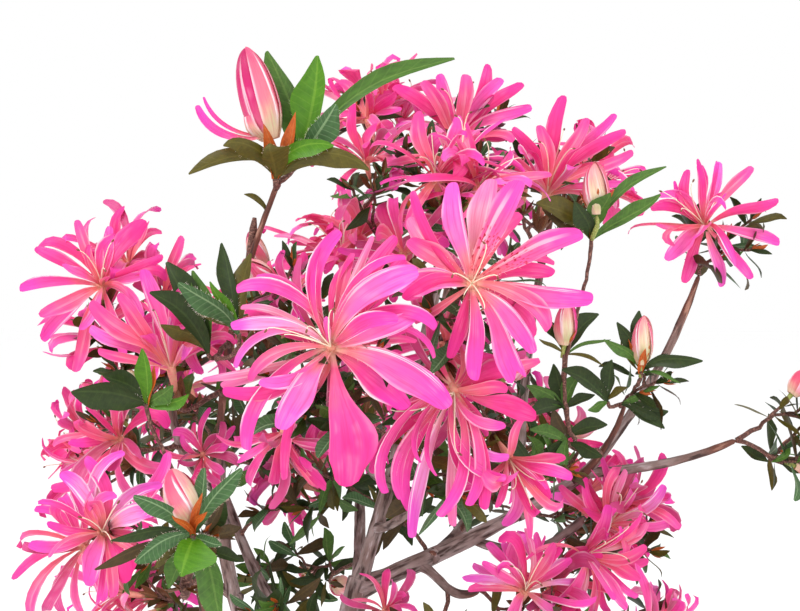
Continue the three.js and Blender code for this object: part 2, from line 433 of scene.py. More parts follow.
# %% [markdown]
# ## Petals
#
# Each petal is one blade. It leaves the throat between the flower tube's direction and its own,
# and it arrives at its tip bent back and sometimes hooked to one side. The look names the form,
# the colour strip, how deeply the blade is guttered and how wavy it is. A bloom is a list of
# petals. The blooms that face the front have their petals laid out one by one, as clock angle,
# reach and width, because that star is what makes this plant what it is.

# %% Looks of petals and leaves
LOOKS = {
    # name: (form, colour strip, gutter, wave)
    "veined": ("broad", 0, -0.5, 0.02),
    "striped": ("strap", 1, 0.8, 0.05),
    "edged": ("strap", 2, 0.85, 0.06),
    "salmon": ("strap", 3, 0.75, 0.05),
    "pale": ("strap", 4, -0.6, 0.05),
    "deep": ("strap", 5, -0.75, 0.06),
    "speckled": ("strap", 6, 0.6, 0.05),
    "notched": ("notched", 1, 0.5, 0.06),
    "curled": ("slim", 2, 1.35, 0.05),
    "slim": ("slim", 3, 0.9, 0.05),
    "violet": ("strap", 7, 0.8, 0.06),
    "lilac": ("strap", 10, 0.9, 0.06),
    # A dim mauve-pink look that is painted shade, for petals deep in the crown or behind a bloom.
    "dusky": ("strap", 11, 0.6, 0.06),
}
LEAF_LOOKS = {
    "dark": ("leaf", 0, 0.45, 0.04),
    "mid": ("leaf", 1, 0.4, 0.04),
    "bright": ("leaf", 2, 0.5, 0.03),
    "olive": ("leaf", 3, -0.3, 0.04),
    "hairy": ("round_leaf", 4, 0.35, 0.05),
    "bronze": ("leaf", 5, 0.4, 0.05),
    "bract": ("scale", 6, 0.9, 0.0),
    "husk": ("scale", 7, 0.9, 0.05),
}
FRONT = np.array([0.0, -1.0, 0.0])
UP = np.array([0.0, 0.0, 1.0])
SWEEP = 0.6  # how far a hooked petal first swings the other way, as a share of its hook
HAIR = 0.028  # half the thickness of a hair, mm
GOLDEN = 137.5  # turn from one petal or leaf to the next, degrees
petals, leaves, stalks, threads, hairs = [], [], [], [], []
rng = np.random.default_rng(11)


def clock_way(face, clock):
    """The direction on a clock face that is looked at against `face`; 0 is up, 90 is right."""
    right = np.cross(UP, face)
    if np.linalg.norm(right) < 0.2:
        right = np.cross([0.0, 1.0, 0.0], face)
    right = unit(right)
    turn = np.radians(clock)
    return right * np.sin(turn) + np.cross(face, right) * np.cos(turn)


def lay(store, looks, root, axis, face, tip, width, look, lift=40, droop=25, hook=0, roll=0,
        twist=0, steps=9, across=4):
    """Adds one petal or leaf to a store, from its root to a tip given relative to the root."""
    form, strip, gutter, wave = looks[look]
    reach = np.linalg.norm(tip)
    ray = tip / reach
    side = np.cross(face, ray)
    side = unit(side) if np.linalg.norm(side) > 0.05 else unit(np.cross(UP + 0.1, ray))
    lift, droop, hook = np.radians([lift, droop, hook])
    leave = unit(ray * np.cos(lift) + axis * np.sin(lift) + side * np.tan(hook) * SWEEP)
    arrive = unit(ray * np.cos(droop) - face * np.sin(droop) - side * np.tan(hook))
    sway = side * reach * rng.normal(0, 0.04, (2, 1))
    handles = (
        root,
        root + leave * reach * 0.42 + sway[0],
        root + tip - arrive * reach * 0.38 + sway[1],
        root + tip,
    )
    made = blade(handles, side, width, form, strip, gutter, np.radians(roll),
                 np.radians(twist) + rng.normal(0, 0.15), wave, steps, across)
    store.append(made)
    return made


def fuzz(made, count, length, up_to=1.0):
    """Fine hairs along a blade's two edges, from its foot up to a share of its length."""
    corners, squares, places = made
    off_middle = np.abs(places[:, 0] * STRIPS % 1.0 - 0.5)
    left = squares[off_middle[squares[:, 0]] > 0.45][:, [0, 1, 3]]
    right = squares[off_middle[squares[:, 3]] > 0.45][:, [3, 2, 0]]
    edge = np.concatenate([left, right])
    edge = edge[places[edge[:, 0], 1] <= up_to]
    pick = edge[rng.integers(0, len(edge), count)]
    share = rng.random((count, 1))
    foot = corners[pick[:, 0]] * (1 - share) + corners[pick[:, 1]] * share
    out_way = corners[pick[:, 0]] - corners[pick[:, 2]]
    run = corners[pick[:, 1]] - corners[pick[:, 0]]
    proud = np.cross(run, out_way)
    parts = [part / (np.linalg.norm(part, axis=1)[:, None] + 1e-9) for part in (out_way, run, proud)]
    way = parts[0] * rng.uniform(0.3, 1, (count, 1)) + parts[1] * 0.5
    way += parts[2] * rng.normal(0, 0.6, (count, 1))
    way /= np.linalg.norm(way, axis=1)[:, None] + 1e-9
    tip = foot + way * length * (0.6 + 0.6 * rng.random((count, 1)))
    thick = np.cross(way, parts[2] + 0.3)
    thick *= HAIR / (np.linalg.norm(thick, axis=1)[:, None] + 1e-9)
    points = np.stack([foot - thick, foot + thick, tip + thick * 0.3, tip - thick * 0.3], axis=1)
    faces = np.arange(count * 4).reshape(-1, 4)
    hairs.append((points.reshape(-1, 3), faces, np.full((count * 4, 2), 0.5)))


# %% [markdown]
# ## Blooms, buds and leaves in whorls
#
# Behind each bloom its claws close into a short tube on a green stalk, and papery brown scales of
# the opened bud stay at the stalk's foot. Thin cream filaments stand in the throat. A closed bud
# is a set of petals wrapped round one another: the same grid of squares, but wrapped on a
# swelling profile.

# %% Parts of a shoot
TUBE = 7.0  # length of the flower tube, mm
STALK = 6.0  # length of the stalk below it, mm
STRIP_OF_STALK = {"wood": 0, "green": 1, "tube": 2, "cream": 3, "dark": 4}


def throat_and_stalk(throat, axis, size=1.0):
    """The flower tube and its stalk; returns the shoot's end."""
    foot = throat - axis * TUBE * size
    end = foot - axis * STALK * size
    path = arc(end, end + axis * 2, foot, throat - axis, 7)
    radii = np.array([0.55, 0.5, 0.5, 0.6, 0.85, 1.1, 1.35, 1.5]) * size
    stalks.append(tube(path[:5], radii[:5], STRIP_OF_STALK["green"]))
    stalks.append(tube(path[3:], radii[3:], STRIP_OF_STALK["tube"], 8))
    return end


def filaments(throat, axis, rows):
    """Cream filaments, each (tip relative to the throat, bow), with a small dark anther."""
    for tip, bow in rows:
        tip = np.asarray(tip, float)
        path = arc(throat - axis * 2, throat + axis * 4, throat + tip - np.asarray(bow, float),
                   throat + tip, 9)
        threads.append(tube(path, np.linspace(0.20, 0.13, 10), STRIP_OF_STALK["cream"], 5))
        knob = path[-1] + np.outer(np.linspace(-0.4, 0.9, 5), unit(path[-1] - path[-2]))
        threads.append(tube(knob, [0.10, 0.26, 0.32, 0.26, 0.08], STRIP_OF_STALK["dark"], 6))


def scales(end, axis, count, length, look="bract", spread=28, off=0.6):
    """Bud scales standing round the end of a shoot, off its middle."""
    for k in range(count):
        clock = GOLDEN * k + rng.uniform(-15, 15)
        ray = clock_way(axis, clock)
        lean = np.radians(spread + rng.uniform(-12, 14))
        way = axis * np.cos(lean) + ray * np.sin(lean)
        size = length * rng.uniform(0.7, 1.1)
        lay(leaves, LEAF_LOOKS, end + ray * off - axis * 1.0, ray, axis, way * size, size * 0.42,
            look, 30, -35, 0, 0, 0, 5, 4)


def whorl(end, axis, count, length, looks, spread, start):
    """Leaves round the end of a shoot, the outer ones longer and lower."""
    for k in range(count):
        low = k / max(count - 1, 1)
        clock = start + GOLDEN * k + rng.uniform(-12, 12)
        lean = np.radians(spread[0] + (spread[1] - spread[0]) * low + rng.uniform(-10, 10))
        ray = clock_way(axis, clock)
        way = axis * np.cos(lean) + ray * np.sin(lean)
        size = length * (0.55 + 0.5 * low) * rng.uniform(0.8, 1.15)
        # On the shoot's straight axis: where the twig curves away, the leaf stands off it.
        root = end - axis * (1.0 + 5.0 * low)
        lay(leaves, LEAF_LOOKS, root, ray, axis, way * size, size * rng.uniform(0.26, 0.36),
            looks[rng.integers(len(looks))], rng.uniform(5, 35), rng.uniform(0, 45),
            rng.uniform(-12, 12), rng.uniform(-15, 15), 0, 7, 4)


def wrapped(base, axis, height, radius, turn, spread, strip, twist, proud, rows=10, across=6):
    """One petal of a closed bud, wrapped round its axis."""
    heights = np.sin(np.pi / 2 * np.linspace(0, 1, rows + 1))  # closer together at the round tip
    t, u = np.meshgrid(heights, np.linspace(-1, 1, across + 1), indexing="ij")
    swell = np.sin(np.pi / 2 * np.minimum(1, (t + 0.12) / 0.5)) ** 0.8
    swell = swell * (1 - np.clip((t - 0.38) / 0.62, 0, 1) ** 2.4) ** 0.6
    angle = turn + twist * t + spread * u * (1 - 0.35 * t)
    size = radius * swell * (1 + 0.10 * u + proud)
    right = clock_way(axis, 90)
    up = clock_way(axis, 0)
    corners = (
        base
        + axis * (height * t)[..., None]
        + right * (size * np.sin(angle))[..., None]
        + up * (size * np.cos(angle))[..., None]
    ).reshape(-1, 3)
    return corners, grid_squares(rows, across), strip_square(strip, u, t)


def bud(base, axis, height, radius, strips, bracts=4):
    """A closed bud: wrapped petals, scales at the foot and a stub of stalk."""
    axis = unit(axis)
    count = len(strips)
    for k, strip in enumerate(strips):
        turn = 2 * np.pi * k / count + rng.uniform(-0.2, 0.2)
        petals.append(
            wrapped(base, axis, height * rng.uniform(0.94, 1.02), radius, turn, 1.0, strip, 0.9,
                    0.07 * (k % 2))
        )
    scales(base + axis * 1.2, axis, bracts, height * 0.5, "bract", 18, radius * 0.35)
    path = np.linspace(base - axis * 4, base + axis * 2, 4)
    stalks.append(tube(path, [0.7, 0.7, 0.9, 1.4], STRIP_OF_STALK["green"]))
    return base - axis * 4


def star(throat, axis, rows, fine=False):
    """A bloom whose petals are given one by one, seen from the front.

    A row is clock, reach, how far the tip stands forward, width, look, then lift, droop, hook."""
    for clock, reach, ahead, width, look, *bends in rows:
        tip = clock_way(FRONT, clock) * reach + FRONT * ahead
        made = lay(petals, LOOKS, throat - axis * 2.5, axis, FRONT, tip, width, look, *bends,
                   steps=14 if fine else 10, across=6 if fine else 4)
        if fine:
            fuzz(made, 16, 1.1, 0.4)
    return throat_and_stalk(throat, axis)


LOOSE_LOOKS = ["striped", "edged", "salmon", "salmon", "deep", "deep", "veined", "violet", "curled",
               "slim", "pale"]
LOOSE_WIDTHS = {"veined": 8.0, "curled": 3.6, "slim": 3.2}  # others 5 mm


def loose_petals(throat, axis, size, count, open_to=(30, 100), looks=LOOSE_LOOKS):
    """Petals dealt out by chance round a bloom's axis."""
    for k in range(count):
        clock = GOLDEN * k + rng.uniform(-14, 14)
        lean = np.radians(rng.uniform(*open_to))
        ray = clock_way(axis, clock)
        reach = rng.uniform(17, 28) * size
        tip = (ray * np.sin(lean) + axis * np.cos(lean)) * reach
        tip[2] -= 0.08 * reach
        look = looks[rng.integers(len(looks))]
        width = LOOSE_WIDTHS.get(look, 5.0) * rng.uniform(0.7, 1.2) * size
        lay(petals, LOOKS, throat - axis * 2.5, axis, unit(axis + ray * 0.2), tip, width,
            look, rng.uniform(20, 60), rng.uniform(0, 80), rng.uniform(-45, 45),
            rng.uniform(-35, 35), rng.uniform(-40, 40), 9, 3)


def loose_star(throat, axis, size, count):
    """A whole bloom dealt out by chance."""
    loose_petals(throat, axis, size, count)
    for k in range(3):
        ray = clock_way(axis, 120 * k + rng.uniform(-30, 30))
        filaments(throat, axis, [(axis * rng.uniform(8, 16) + ray * rng.uniform(2, 7), ray * 3)])
    return throat_and_stalk(throat, axis, size)


print(len(LOOKS), "looks of petal and", len(LEAF_LOOKS), "of leaf")

# %% [markdown]
# ## The blooms that face the front
#
# Two full stars look straight out at the front of the crown, with a third hanging below them.
# They are the plant's portrait, so each petal is given one by one. Reaches and widths are in mm.

# %% The front stars
FRONT_SLIM = 0.8  # how much narrower a rolled petal looks than it is
BACKING = 9  # petals that show only in the gaps of a front star
ends = []  # where twigs have to arrive: place, direction, radius there


def arrive_at(place, direction, radius=0.55):
    """Asks for a twig to this place."""
    ends.append((np.asarray(place, float), unit(direction), radius))


def front_star(throat, axis, rows, thread_rows, slim=FRONT_SLIM):
    """A bloom that faces the front, laid out petal by petal."""
    throat, axis = np.asarray(throat, float), unit(axis)
    rows = [(*row[:3], row[3] * slim, *row[4:]) for row in rows]
    end = star(throat, axis, rows, True)
    # A third of these petals take the shade-dimmed pink: painted shade in the gaps of the star.
    for k in range(BACKING):
        tip = clock_way(FRONT, 47 * k + rng.uniform(-20, 20)) * rng.uniform(17, 28)
        lay(petals, LOOKS, throat - axis * 3, axis, FRONT, tip - FRONT * rng.uniform(5, 10),
            rng.uniform(2.6, 4.6), ("deep", "dusky", "slim")[k % 3], rng.uniform(10, 40),
            rng.uniform(0, 50), rng.uniform(-40, 40), rng.uniform(-30, 30))
    filaments(throat, axis, thread_rows)
    scales(end, axis, 5, 9, "husk", 30)
    arrive_at(end, axis)


front_star(
    (6.5, -92, 189),
    (-0.05, -1, 0.12),
    [
        (174, 36.5, 9, 16.5, "veined", 20, 25, 0), (116, 35.0, 8, 12.4, "striped", 30, 15, 14),
        (127, 26.0, 5, 9.4, "edged", 25, 5, 8), (212, 25.0, 9, 10.4, "violet", 35, 25, -12),
        (219, 35.0, 3, 6.0, "edged", 35, 10, -40), (200, 38.0, -2, 3.8, "deep", 30, 20, -24),
        (245, 20.5, 10, 5.6, "violet", 45, 20, 46), (249, 30.5, 6, 5.8, "deep", 30, 5, 34),
        (248, 23.5, 2, 4.8, "salmon", 40, 30, -44), (256, 36.0, -3, 3.0, "pale", 25, 10, 10),
        (251, 32.0, -5, 4.4, "pale", 25, 10, 4), (258, 26.0, 1, 3.2, "violet", 40, 20, -66),
        (282, 28.0, -4, 5.4, "lilac", 40, 20, -30), (301, 29.0, 5, 5.4, "edged", 50, 45, -62),
        (312, 27.0, 3, 4.8, "violet", 45, 40, -50), (293, 27.0, -5, 2.8, "pale", 40, 20, -20),
        (354, 27.0, 6, 3.0, "curled", 45, 20, 20), (5, 31.0, 4, 6.8, "edged", 35, 25, 34),
        (30, 34.5, 1, 6.4, "deep", 35, 10, 22), (20, 32.0, -3, 3.0, "pale", 30, 20, 12),
        (48, 31.0, 5, 10.4, "violet", 45, 45, 38), (40, 31.0, 6, 3.2, "edged", 45, 45, 44),
        (40, 31.0, -7, 7.0, "deep", 30, 20, 0), (67, 19.5, 9, 7.0, "edged", 35, 25, 24),
        (69, 24.5, 5, 7.0, "violet", 40, 30, -14), (80, 28.0, 5, 5.2, "edged", 45, 55, 64),
        (96, 27.5, 0, 4.0, "curled", 45, 55, 66), (75, 22.0, 1, 7.0, "deep", 20, 20, 20),
        (352, 8.5, 5, 2.4, "violet", 60, 0, 0),
    ],
    [
        ((-16.5, -7, 4.5), (0, 0, -3)),
        ((-6.0, -6, 4.5), (0, 0, -4)),
        ((-12.0, -8, 3.0), (0, 0, -2)),
        ((1.0, -9, 10.0), (2, 0, 0)),
    ],
)
front_star(
    (44.5, -84, 206),
    (0.05, -1, 0.1),
    [
        (350, 28.0, 5, 6.2, "violet", 40, 15, 6), (26, 31.0, 4, 7.2, "speckled", 40, 15, 4),
        (12, 30.0, -6, 8.0, "pale", 30, 5, 0), (36, 23.5, 0, 5.0, "salmon", 35, 20, 16),
        (66, 33.0, 4, 6.4, "speckled", 30, 0, 10), (82, 23.0, 1, 4.8, "deep", 30, 20, 40),
        (96, 33.0, 5, 7.0, "striped", 30, 5, -8), (122, 24.0, 5, 5.2, "salmon", 40, 45, 32),
        (138, 25.0, 6, 6.0, "striped", 35, 20, 14), (153, 29.5, 3, 6.6, "notched", 35, 20, 10),
        (178, 26.0, 6, 5.8, "edged", 35, 10, 0), (197, 21.0, 2, 4.4, "deep", 35, 15, 0),
        (328, 30.0, 2, 3.6, "deep", 40, 10, 18), (304, 21.0, 2, 6.4, "salmon", 30, 15, 0),
        (270, 21.5, 8, 8.0, "violet", 30, 20, -20), (258, 19.0, 10, 5.0, "deep", 40, 30, -35),
        (318, 25.0, -4, 5.4, "pale", 30, 10, 6),
    ],
    [
        ((3.0, -9, 10.5), (-2, 0, 0)),
        ((6.5, -8, 1.5), (0, 0, -2)),
        ((2.5, -9, -7.0), (-2, 0, 0)),
        ((-5.5, -9, 2.0), (0, 0, -2)),
        ((-2.5, -8, -3.5), (0, 0, -1)),
    ],
    1.0,
)
front_star(
    (40.5, -68, 175),
    (0.15, -0.7, -0.55),
    [
        (249, 17.0, 2, 2.2, "curled", 20, 10, -40), (221, 28.0, 2, 2.2, "curled", 30, 20, -62),
        (224, 33.0, 3, 5.0, "deep", 30, 10, -20), (213, 34.0, 8, 4.4, "edged", 40, 30, -62),
        (206, 34.0, 6, 5.2, "striped", 35, 30, -50), (199, 36.0, 4, 5.6, "edged", 35, 20, -44),
        (196, 43.0, 6, 6.0, "lilac", 25, 10, -24), (188, 35.0, 9, 5.0, "edged", 35, 20, 30),
        (180, 38.0, 7, 4.4, "pale", 20, 10, -6), (174, 32.0, 9, 4.8, "striped", 30, 20, 34),
        (166, 34.0, 10, 6.4, "deep", 25, 10, 18), (158, 30.0, 6, 4.6, "edged", 35, 25, -48),
        (149, 28.0, 9, 4.8, "edged", 40, 25, -58), (140, 24.0, 5, 4.4, "lilac", 40, 25, -54),
        (124, 17.0, 10, 4.6, "striped", 50, 40, -56), (109, 24.0, 8, 8.0, "veined", 30, 5, 14),
        (92, 15.0, 4, 6.0, "salmon", 35, 25, 14), (76, 17.0, 5, 8.0, "deep", 30, 20, 24),
        (58, 15.0, 2, 7.4, "deep", 20, 10, 20), (34, 11.0, -2, 7.0, "deep", 10, 10, 0),
        (236, 18.0, 3, 4.4, "salmon", 40, 30, -44), (262, 12.0, 2, 3.6, "edged", 20, 10, -40),
        (205, 22.0, 10, 3.0, "curled", 40, 40, -60), (192, 24.0, 11, 2.8, "curled", 40, 40, -50),
    ],
    [((-17.0, -6, 1.0), (0, 0, -4)), ((-19.0, -4, -3.0), (0, 0, 4)), ((1.0, -8, -16.0), (3, 0, 0))],
)
print(len(petals), "petals in the front stars")

# %% [markdown]
# ## Blooms seen from the side
#
# Round the edge of the crown the blooms turn up and outwards, and are seen from the side as fans.
# They are laid out in the same way, with the tube pointing where the stalk comes from.

# %% The side blooms
PINKS = ["salmon", "striped", "deep", "edged", "violet", "salmon", "slim", "curled"]
CLEAR_PINKS = ["striped", "edged", "violet", "lilac", "salmon", "pale", "deep"]
SIDE_SLIM = 0.72  # how much narrower the side blooms' petals are than their rows say


def side_star(throat, axis, rows, more=12):
    """A bloom in a fan, seen from the side, with loose petals among its rows."""
    throat, axis = np.asarray(throat, float), unit(axis)
    end = star(throat, axis, [(*row[:3], row[3] * SIDE_SLIM, *row[4:]) for row in rows])
    loose_petals(throat, axis, 0.92, more, (15, 85), PINKS)
    for k in range(3):
        ray = clock_way(axis, 120 * k + 40)
        filaments(throat, axis, [(axis * rng.uniform(14, 20) + ray * 6, ray * 3)])
    scales(end, axis, 5, 9, "husk", 30)
    arrive_at(end, axis)


def fan(first, last, count, reach, width, looks, lift=(25, 55), droop=(0, 50)):
    """Rows for a fan of petals between two clock angles."""
    rows = []
    for k in range(count):
        clock = first + (last - first) * (k + rng.uniform(-0.25, 0.25)) / max(count - 1, 1)
        rows.append((
            clock, reach * rng.uniform(0.82, 1.06), rng.uniform(-13, 13),
            width * rng.uniform(0.7, 1.25), looks[rng.integers(len(looks))],
            rng.uniform(*lift), rng.uniform(*droop), rng.uniform(-28, 28), rng.uniform(-50, 50),
        ))
    return rows


side_star((-43, -45, 183), (-0.15, -0.3, 1), [
    (14, 25.0, 12, 7.6, "deep", 50, 10, 10), (345, 31.0, 4, 8.0, "striped", 50, 20, -10),
    (312, 31.0, 4, 8.0, "salmon", 40, 0, 0), (328, 27.0, 8, 7.0, "salmon", 45, 10, 8),
    (45, 20.0, 2, 5.0, "salmon", 40, 20, 10), (56, 17.0, -4, 5.0, "striped", 40, 20, 0),
    (28, 21.0, -6, 6.5, "deep", 40, 20, 0), (298, 28.0, -4, 6.0, "violet", 40, 20, 0),
    (2, 23.0, -6, 7.0, "edged", 50, 40, 40), (287, 22.0, 4, 4.6, "salmon", 20, 10, 0)])
side_star((-67, -25, 207), (0.1, -0.8, 0.5), [
    (36, 25.0, 6, 9.4, "veined", 40, 10, 8), (64, 22.0, 6, 5.4, "deep", 40, 20, -6),
    (76, 17.0, 6, 4.8, "violet", 40, 20, 0), (8, 19.0, 2, 6.0, "striped", 40, 20, 0),
    (340, 22.0, 2, 6.0, "salmon", 30, 20, 0), (300, 24.0, 0, 6.0, "deep", 30, 20, 0),
    (268, 25.0, 2, 6.0, "edged", 30, 20, 0), (226, 24.0, 4, 7.0, "striped", 30, 20, 0),
    (196, 27.0, 6, 6.6, "salmon", 30, 20, 0), (160, 24.0, 8, 6.0, "edged", 30, 20, 10),
    (128, 17.0, 8, 5.0, "violet", 40, 50, 30)])
side_star((44, 0, 253), (0.05, -0.25, 1), [
    (313, 29.0, 4, 7.4, "deep", 45, 20, -14), (330, 24.0, 8, 7.0, "salmon", 50, 40, 10),
    (346, 25.0, 2, 7.0, "striped", 50, 30, -10), (4, 23.0, 10, 7.6, "salmon", 50, 40, 8),
    (19, 29.0, 2, 7.4, "deep", 50, 30, -8), (33, 26.0, 6, 7.0, "violet", 50, 20, 10),
    (45, 30.0, 0, 7.0, "deep", 40, 20, 10), (60, 27.0, 4, 6.6, "striped", 40, 30, 14),
    (292, 21.0, -2, 5.0, "salmon", 35, 50, -24), (74, 20.0, -4, 5.6, "deep", 30, 30, 14)])
side_star((71, -20, 236), (0.2, -0.4, 1), [
    (10, 32.0, 2, 7.4, "deep", 50, 5, 0), (27, 27.0, 6, 6.6, "salmon", 45, 10, 6),
    (40, 33.5, 2, 5.4, "striped", 45, 5, -6), (50, 31.0, 8, 6.0, "deep", 40, 10, 6),
    (62, 30.0, 4, 5.4, "salmon", 40, 20, 0), (80, 24.0, 6, 5.0, "edged", 30, 20, 10),
    (352, 22.0, 6, 6.6, "salmon", 50, 20, -10), (334, 24.0, 2, 5.6, "deep", 50, 20, -16),
    (310, 21.0, 2, 6.0, "salmon", 40, 20, -10), (296, 19.0, -4, 5.0, "deep", 30, 20, 0)])
side_star((122, -5, 226.5), (-0.5, -0.7, 0.4), [
    (341, 19.0, 4, 5.4, "deep", 40, 20, 20), (322, 18.0, 6, 4.0, "curled", 40, 20, 30),
    (300, 18.5, 6, 4.6, "violet", 40, 20, -40), (286, 19.0, 4, 5.4, "deep", 40, 30, -36),
    (232, 18.0, 8, 8.4, "violet", 40, 20, -10), (204, 20.0, 6, 7.4, "deep", 30, 10, 0),
    (352, 20.0, 2, 5.0, "striped", 40, 20, 0), (10, 21.0, 2, 5.0, "violet", 40, 20, 0),
    (38, 24.0, 2, 6.0, "salmon", 30, 20, 0), (70, 25.0, 0, 6.0, "deep", 30, 20, 0),
    (104, 24.0, 2, 6.0, "striped", 30, 20, 0), (140, 22.0, 4, 6.0, "edged", 30, 20, 0),
    (168, 20.0, 4, 5.4, "violet", 30, 20, 0)])
side_star((93, 0, 130), (0.3, -0.7, 0.5), fan(300, 440, 14, 22, 5.4, CLEAR_PINKS), 6)
side_star((64, -22, 112), (0.05, -0.8, 0.5), fan(270, 450, 15, 21, 5.6, CLEAR_PINKS), 6)
side_star((84, -14, 122), (0.5, -0.7, 0.3), fan(20, 215, 14, 22, 5.4, CLEAR_PINKS), 6)
side_star((-58, -72, 137), (0.2, -1, 0.3), [
    (18, 24.0, 6, 4.6, "lilac", 50, 10, 60), (40, 30.0, 4, 6.0, "striped", 40, 10, -40),
    (52, 23.0, 8, 5.4, "lilac", 40, 20, 30), (68, 19.0, 10, 9.0, "lilac", 45, 50, 30),
    (350, 22.0, 4, 6.4, "edged", 45, 20, -40), (328, 20.0, 6, 7.6, "lilac", 45, 20, -30),
    (112, 17.0, 6, 6.4, "salmon", 40, 40, 20), (146, 15.0, 10, 9.0, "veined", 40, 40, 10),
    (186, 13.0, 12, 8.6, "violet", 50, 40, 0), (262, 20.0, 4, 6.0, "edged", 40, 30, 20)])
side_star((57, -56, 155), (0.3, -0.8, -0.5), fan(90, 230, 9, 17, 5, PINKS))
print(len(petals), "petals with the side blooms")

# %% [markdown]
# ## Blooms further in
#
# Deeper in the crown, more blooms show between the front ones. Only parts of them can be seen, so
# a place and a direction are enough, and their petals are dealt out by chance.

# %% The inner blooms
# The shade-dimmed looks are painted shade: these blooms sit deep in the crown.
INNER_LOOKS = ["deep", "dusky", "dusky", "salmon", "edged", "striped", "slim"]
INNER_BLOOMS = [
    # throat, axis, size
    ((26, -50, 216), (0, -0.8, 0.5), 0.85), ((-6, -52, 204), (-0.3, -0.8, 0.5), 0.7),
    ((38, -52, 188), (0.1, -0.9, -0.1), 0.9), ((42, -45, 234), (0, -0.5, 0.9), 0.7),
    ((-9, -56, 162), (-0.1, -0.7, -0.6), 0.8), ((14, -20, 246), (-0.2, -0.6, 0.8), 0.85),
    ((14, 5, 262), (-0.3, -0.4, 0.9), 0.95), ((-62, -8, 214), (-0.2, -0.8, 0.5), 0.9),
    ((-50, -14, 203), (0.1, -0.8, 0.4), 0.9), ((-66, -6, 188), (-0.3, -0.9, 0.2), 1.0),
    ((-38, -26, 190), (0.3, -0.8, 0.5), 0.8), ((-60, -36, 160), (-0.2, -0.9, 0.3), 0.9),
    ((-36, -24, 154), (0.1, -0.9, 0.1), 0.6), ((98, 4, 136), (0.5, -0.6, 0.6), 0.85),
    ((74, -6, 110), (0.1, -0.9, 0.2), 0.9), ((20, -12, 104), (0, -0.8, 0.5), 0.6),
    ((66, 8, 240), (0, -0.5, 0.8), 0.8), ((-70, -40, 128), (-0.3, -0.9, 0.3), 0.9),
]
for throat, axis, size in INNER_BLOOMS:
    throat, axis = np.array(throat, float), unit(axis)
    loose_petals(throat, axis, size, 18, (25, 95), INNER_LOOKS)
    end = throat_and_stalk(throat, axis, size)
    scales(end, axis, 4, 8, "husk", 30)
    arrive_at(end, axis)
print(len(petals), "petals with the inner blooms")

# %% [markdown]
# ## Sprays of leaves and buds
#
# The leaves sit in small rosettes at the ends of the shoots, narrow and leathery, with hairs along
# their edges. A few sprays stand clear of the crown, and these are laid out leaf by leaf. The
# fattest bud stands alone on a bare, flaking twig at the upper left.

# %% The sprays
def leaf_spray(node, axis, rows, fuzzy=30, arrive=0.6):
    """Leaves laid out one by one from a node, seen from the front."""
    node, axis = np.asarray(node, float), unit(axis)
    for clock, reach, ahead, width, look, *bends in rows:
        tip = clock_way(FRONT, clock) * reach + FRONT * ahead
        made = lay(leaves, LEAF_LOOKS, node + axis * rng.uniform(-1, 1), axis, FRONT, tip, width,
                   look, *bends, steps=12, across=6)
        if fuzzy and look != "bract":
            fuzz(made, fuzzy * (4 if look == "hairy" else 1), 0.7)
    arrive_at(node, axis, arrive)


def on_limb(name, height):
    """The point at a height on a limb's middle line."""
    line = limb_lines[name][0](np.linspace(0, 1, 40))
    line = line[np.argsort(line[:, 2])]
    return np.array([np.interp(height, line[:, 2], line[:, axis]) for axis in range(3)])


# The bud that stands alone: turn in degrees (90 is the front), strip, share of its height, proud.
spray_foot = np.array([-9.4, -75, 235.2])
lone_base, lone_axis = np.array([-10.6, -75, 246.0]), unit((-0.28, -0.05, 1))
for turn, strip, tall, proud in [(300, 9, 0.97, 0.0), (215, 12, 0.94, 0.0), (345, 13, 0.98, 0.0),
                                 (56, 13, 1.0, 0.03), (124, 12, 0.99, 0.08), (172, 13, 0.5, 0.2)]:
    petals.append(wrapped(lone_base, lone_axis, 26.5 * tall, 4.95, math.radians(turn), 0.95, strip,
                          0.2, proud, 14, 10))
lay(petals, LOOKS, np.array([-12.0, -77, 247.0]), unit((-1, -0.2, -0.35)), FRONT,
    np.array([-18.6, -2, 8.0]), 3.8, "edged", 35, 0, 62, 0, 30, 14, 6)
lay(petals, LOOKS, np.array([-12.0, -75, 247.4]), unit((-1, -0.2, -0.2)), FRONT,
    np.array([-17.0, -3, 10.0]), 2.2, "curled", 30, 0, 56, 0, 0, 14, 6)
# A broken-off stub on the bare twig.
stub = on_limb("bough_spray", 213)
stub_tip = np.array([-17.1, -54.8, 225.4])
stalks.append(tube(np.linspace(stub, stub_tip, 5), [1.3, 1.25, 1.2, 1.15, 0.6],
                   STRIP_OF_STALK["wood"], 8))
leaf_spray(spray_foot, (0.1, 0, 1), [
    (349, 15.0, 6, 5.0, "bract", 60, 0, -10), (18, 18.5, 4, 4.4, "bract", 60, 0, -14),
    (300, 16.0, 7, 5.2, "olive", 60, 60, -36), (271, 24.5, -2, 4.2, "olive", 50, 20, -30),
    (354, 9.5, 8, 8.0, "olive", 50, 60, 0), (64, 18.0, 4, 5.2, "bright", 50, 40, 34),
    (86, 26.0, 4, 5.8, "olive", 30, 30, 38)], 30, 0.9)
leaf_spray((-3.0, -73, 240.5), (0.3, 0.1, 1), [
    (344, 33.0, -4, 8.0, "mid", 40, 5, -8), (10, 28.5, 2, 9.6, "bright", 50, 5, 4),
    (34, 19.0, 5, 7.8, "hairy", 50, 10, 6), (57, 51.5, -2, 4.8, "mid", 30, 20, 16)], 30, 0.7)
# One small leaf on the bare twig.
lay(leaves, LEAF_LOOKS, on_limb("bough_spray", 226.5), unit((0, 0, 1)), FRONT,
    np.array([-6.2, -1.5, 5.3]), 1.8, "olive", 60, 10, -30)

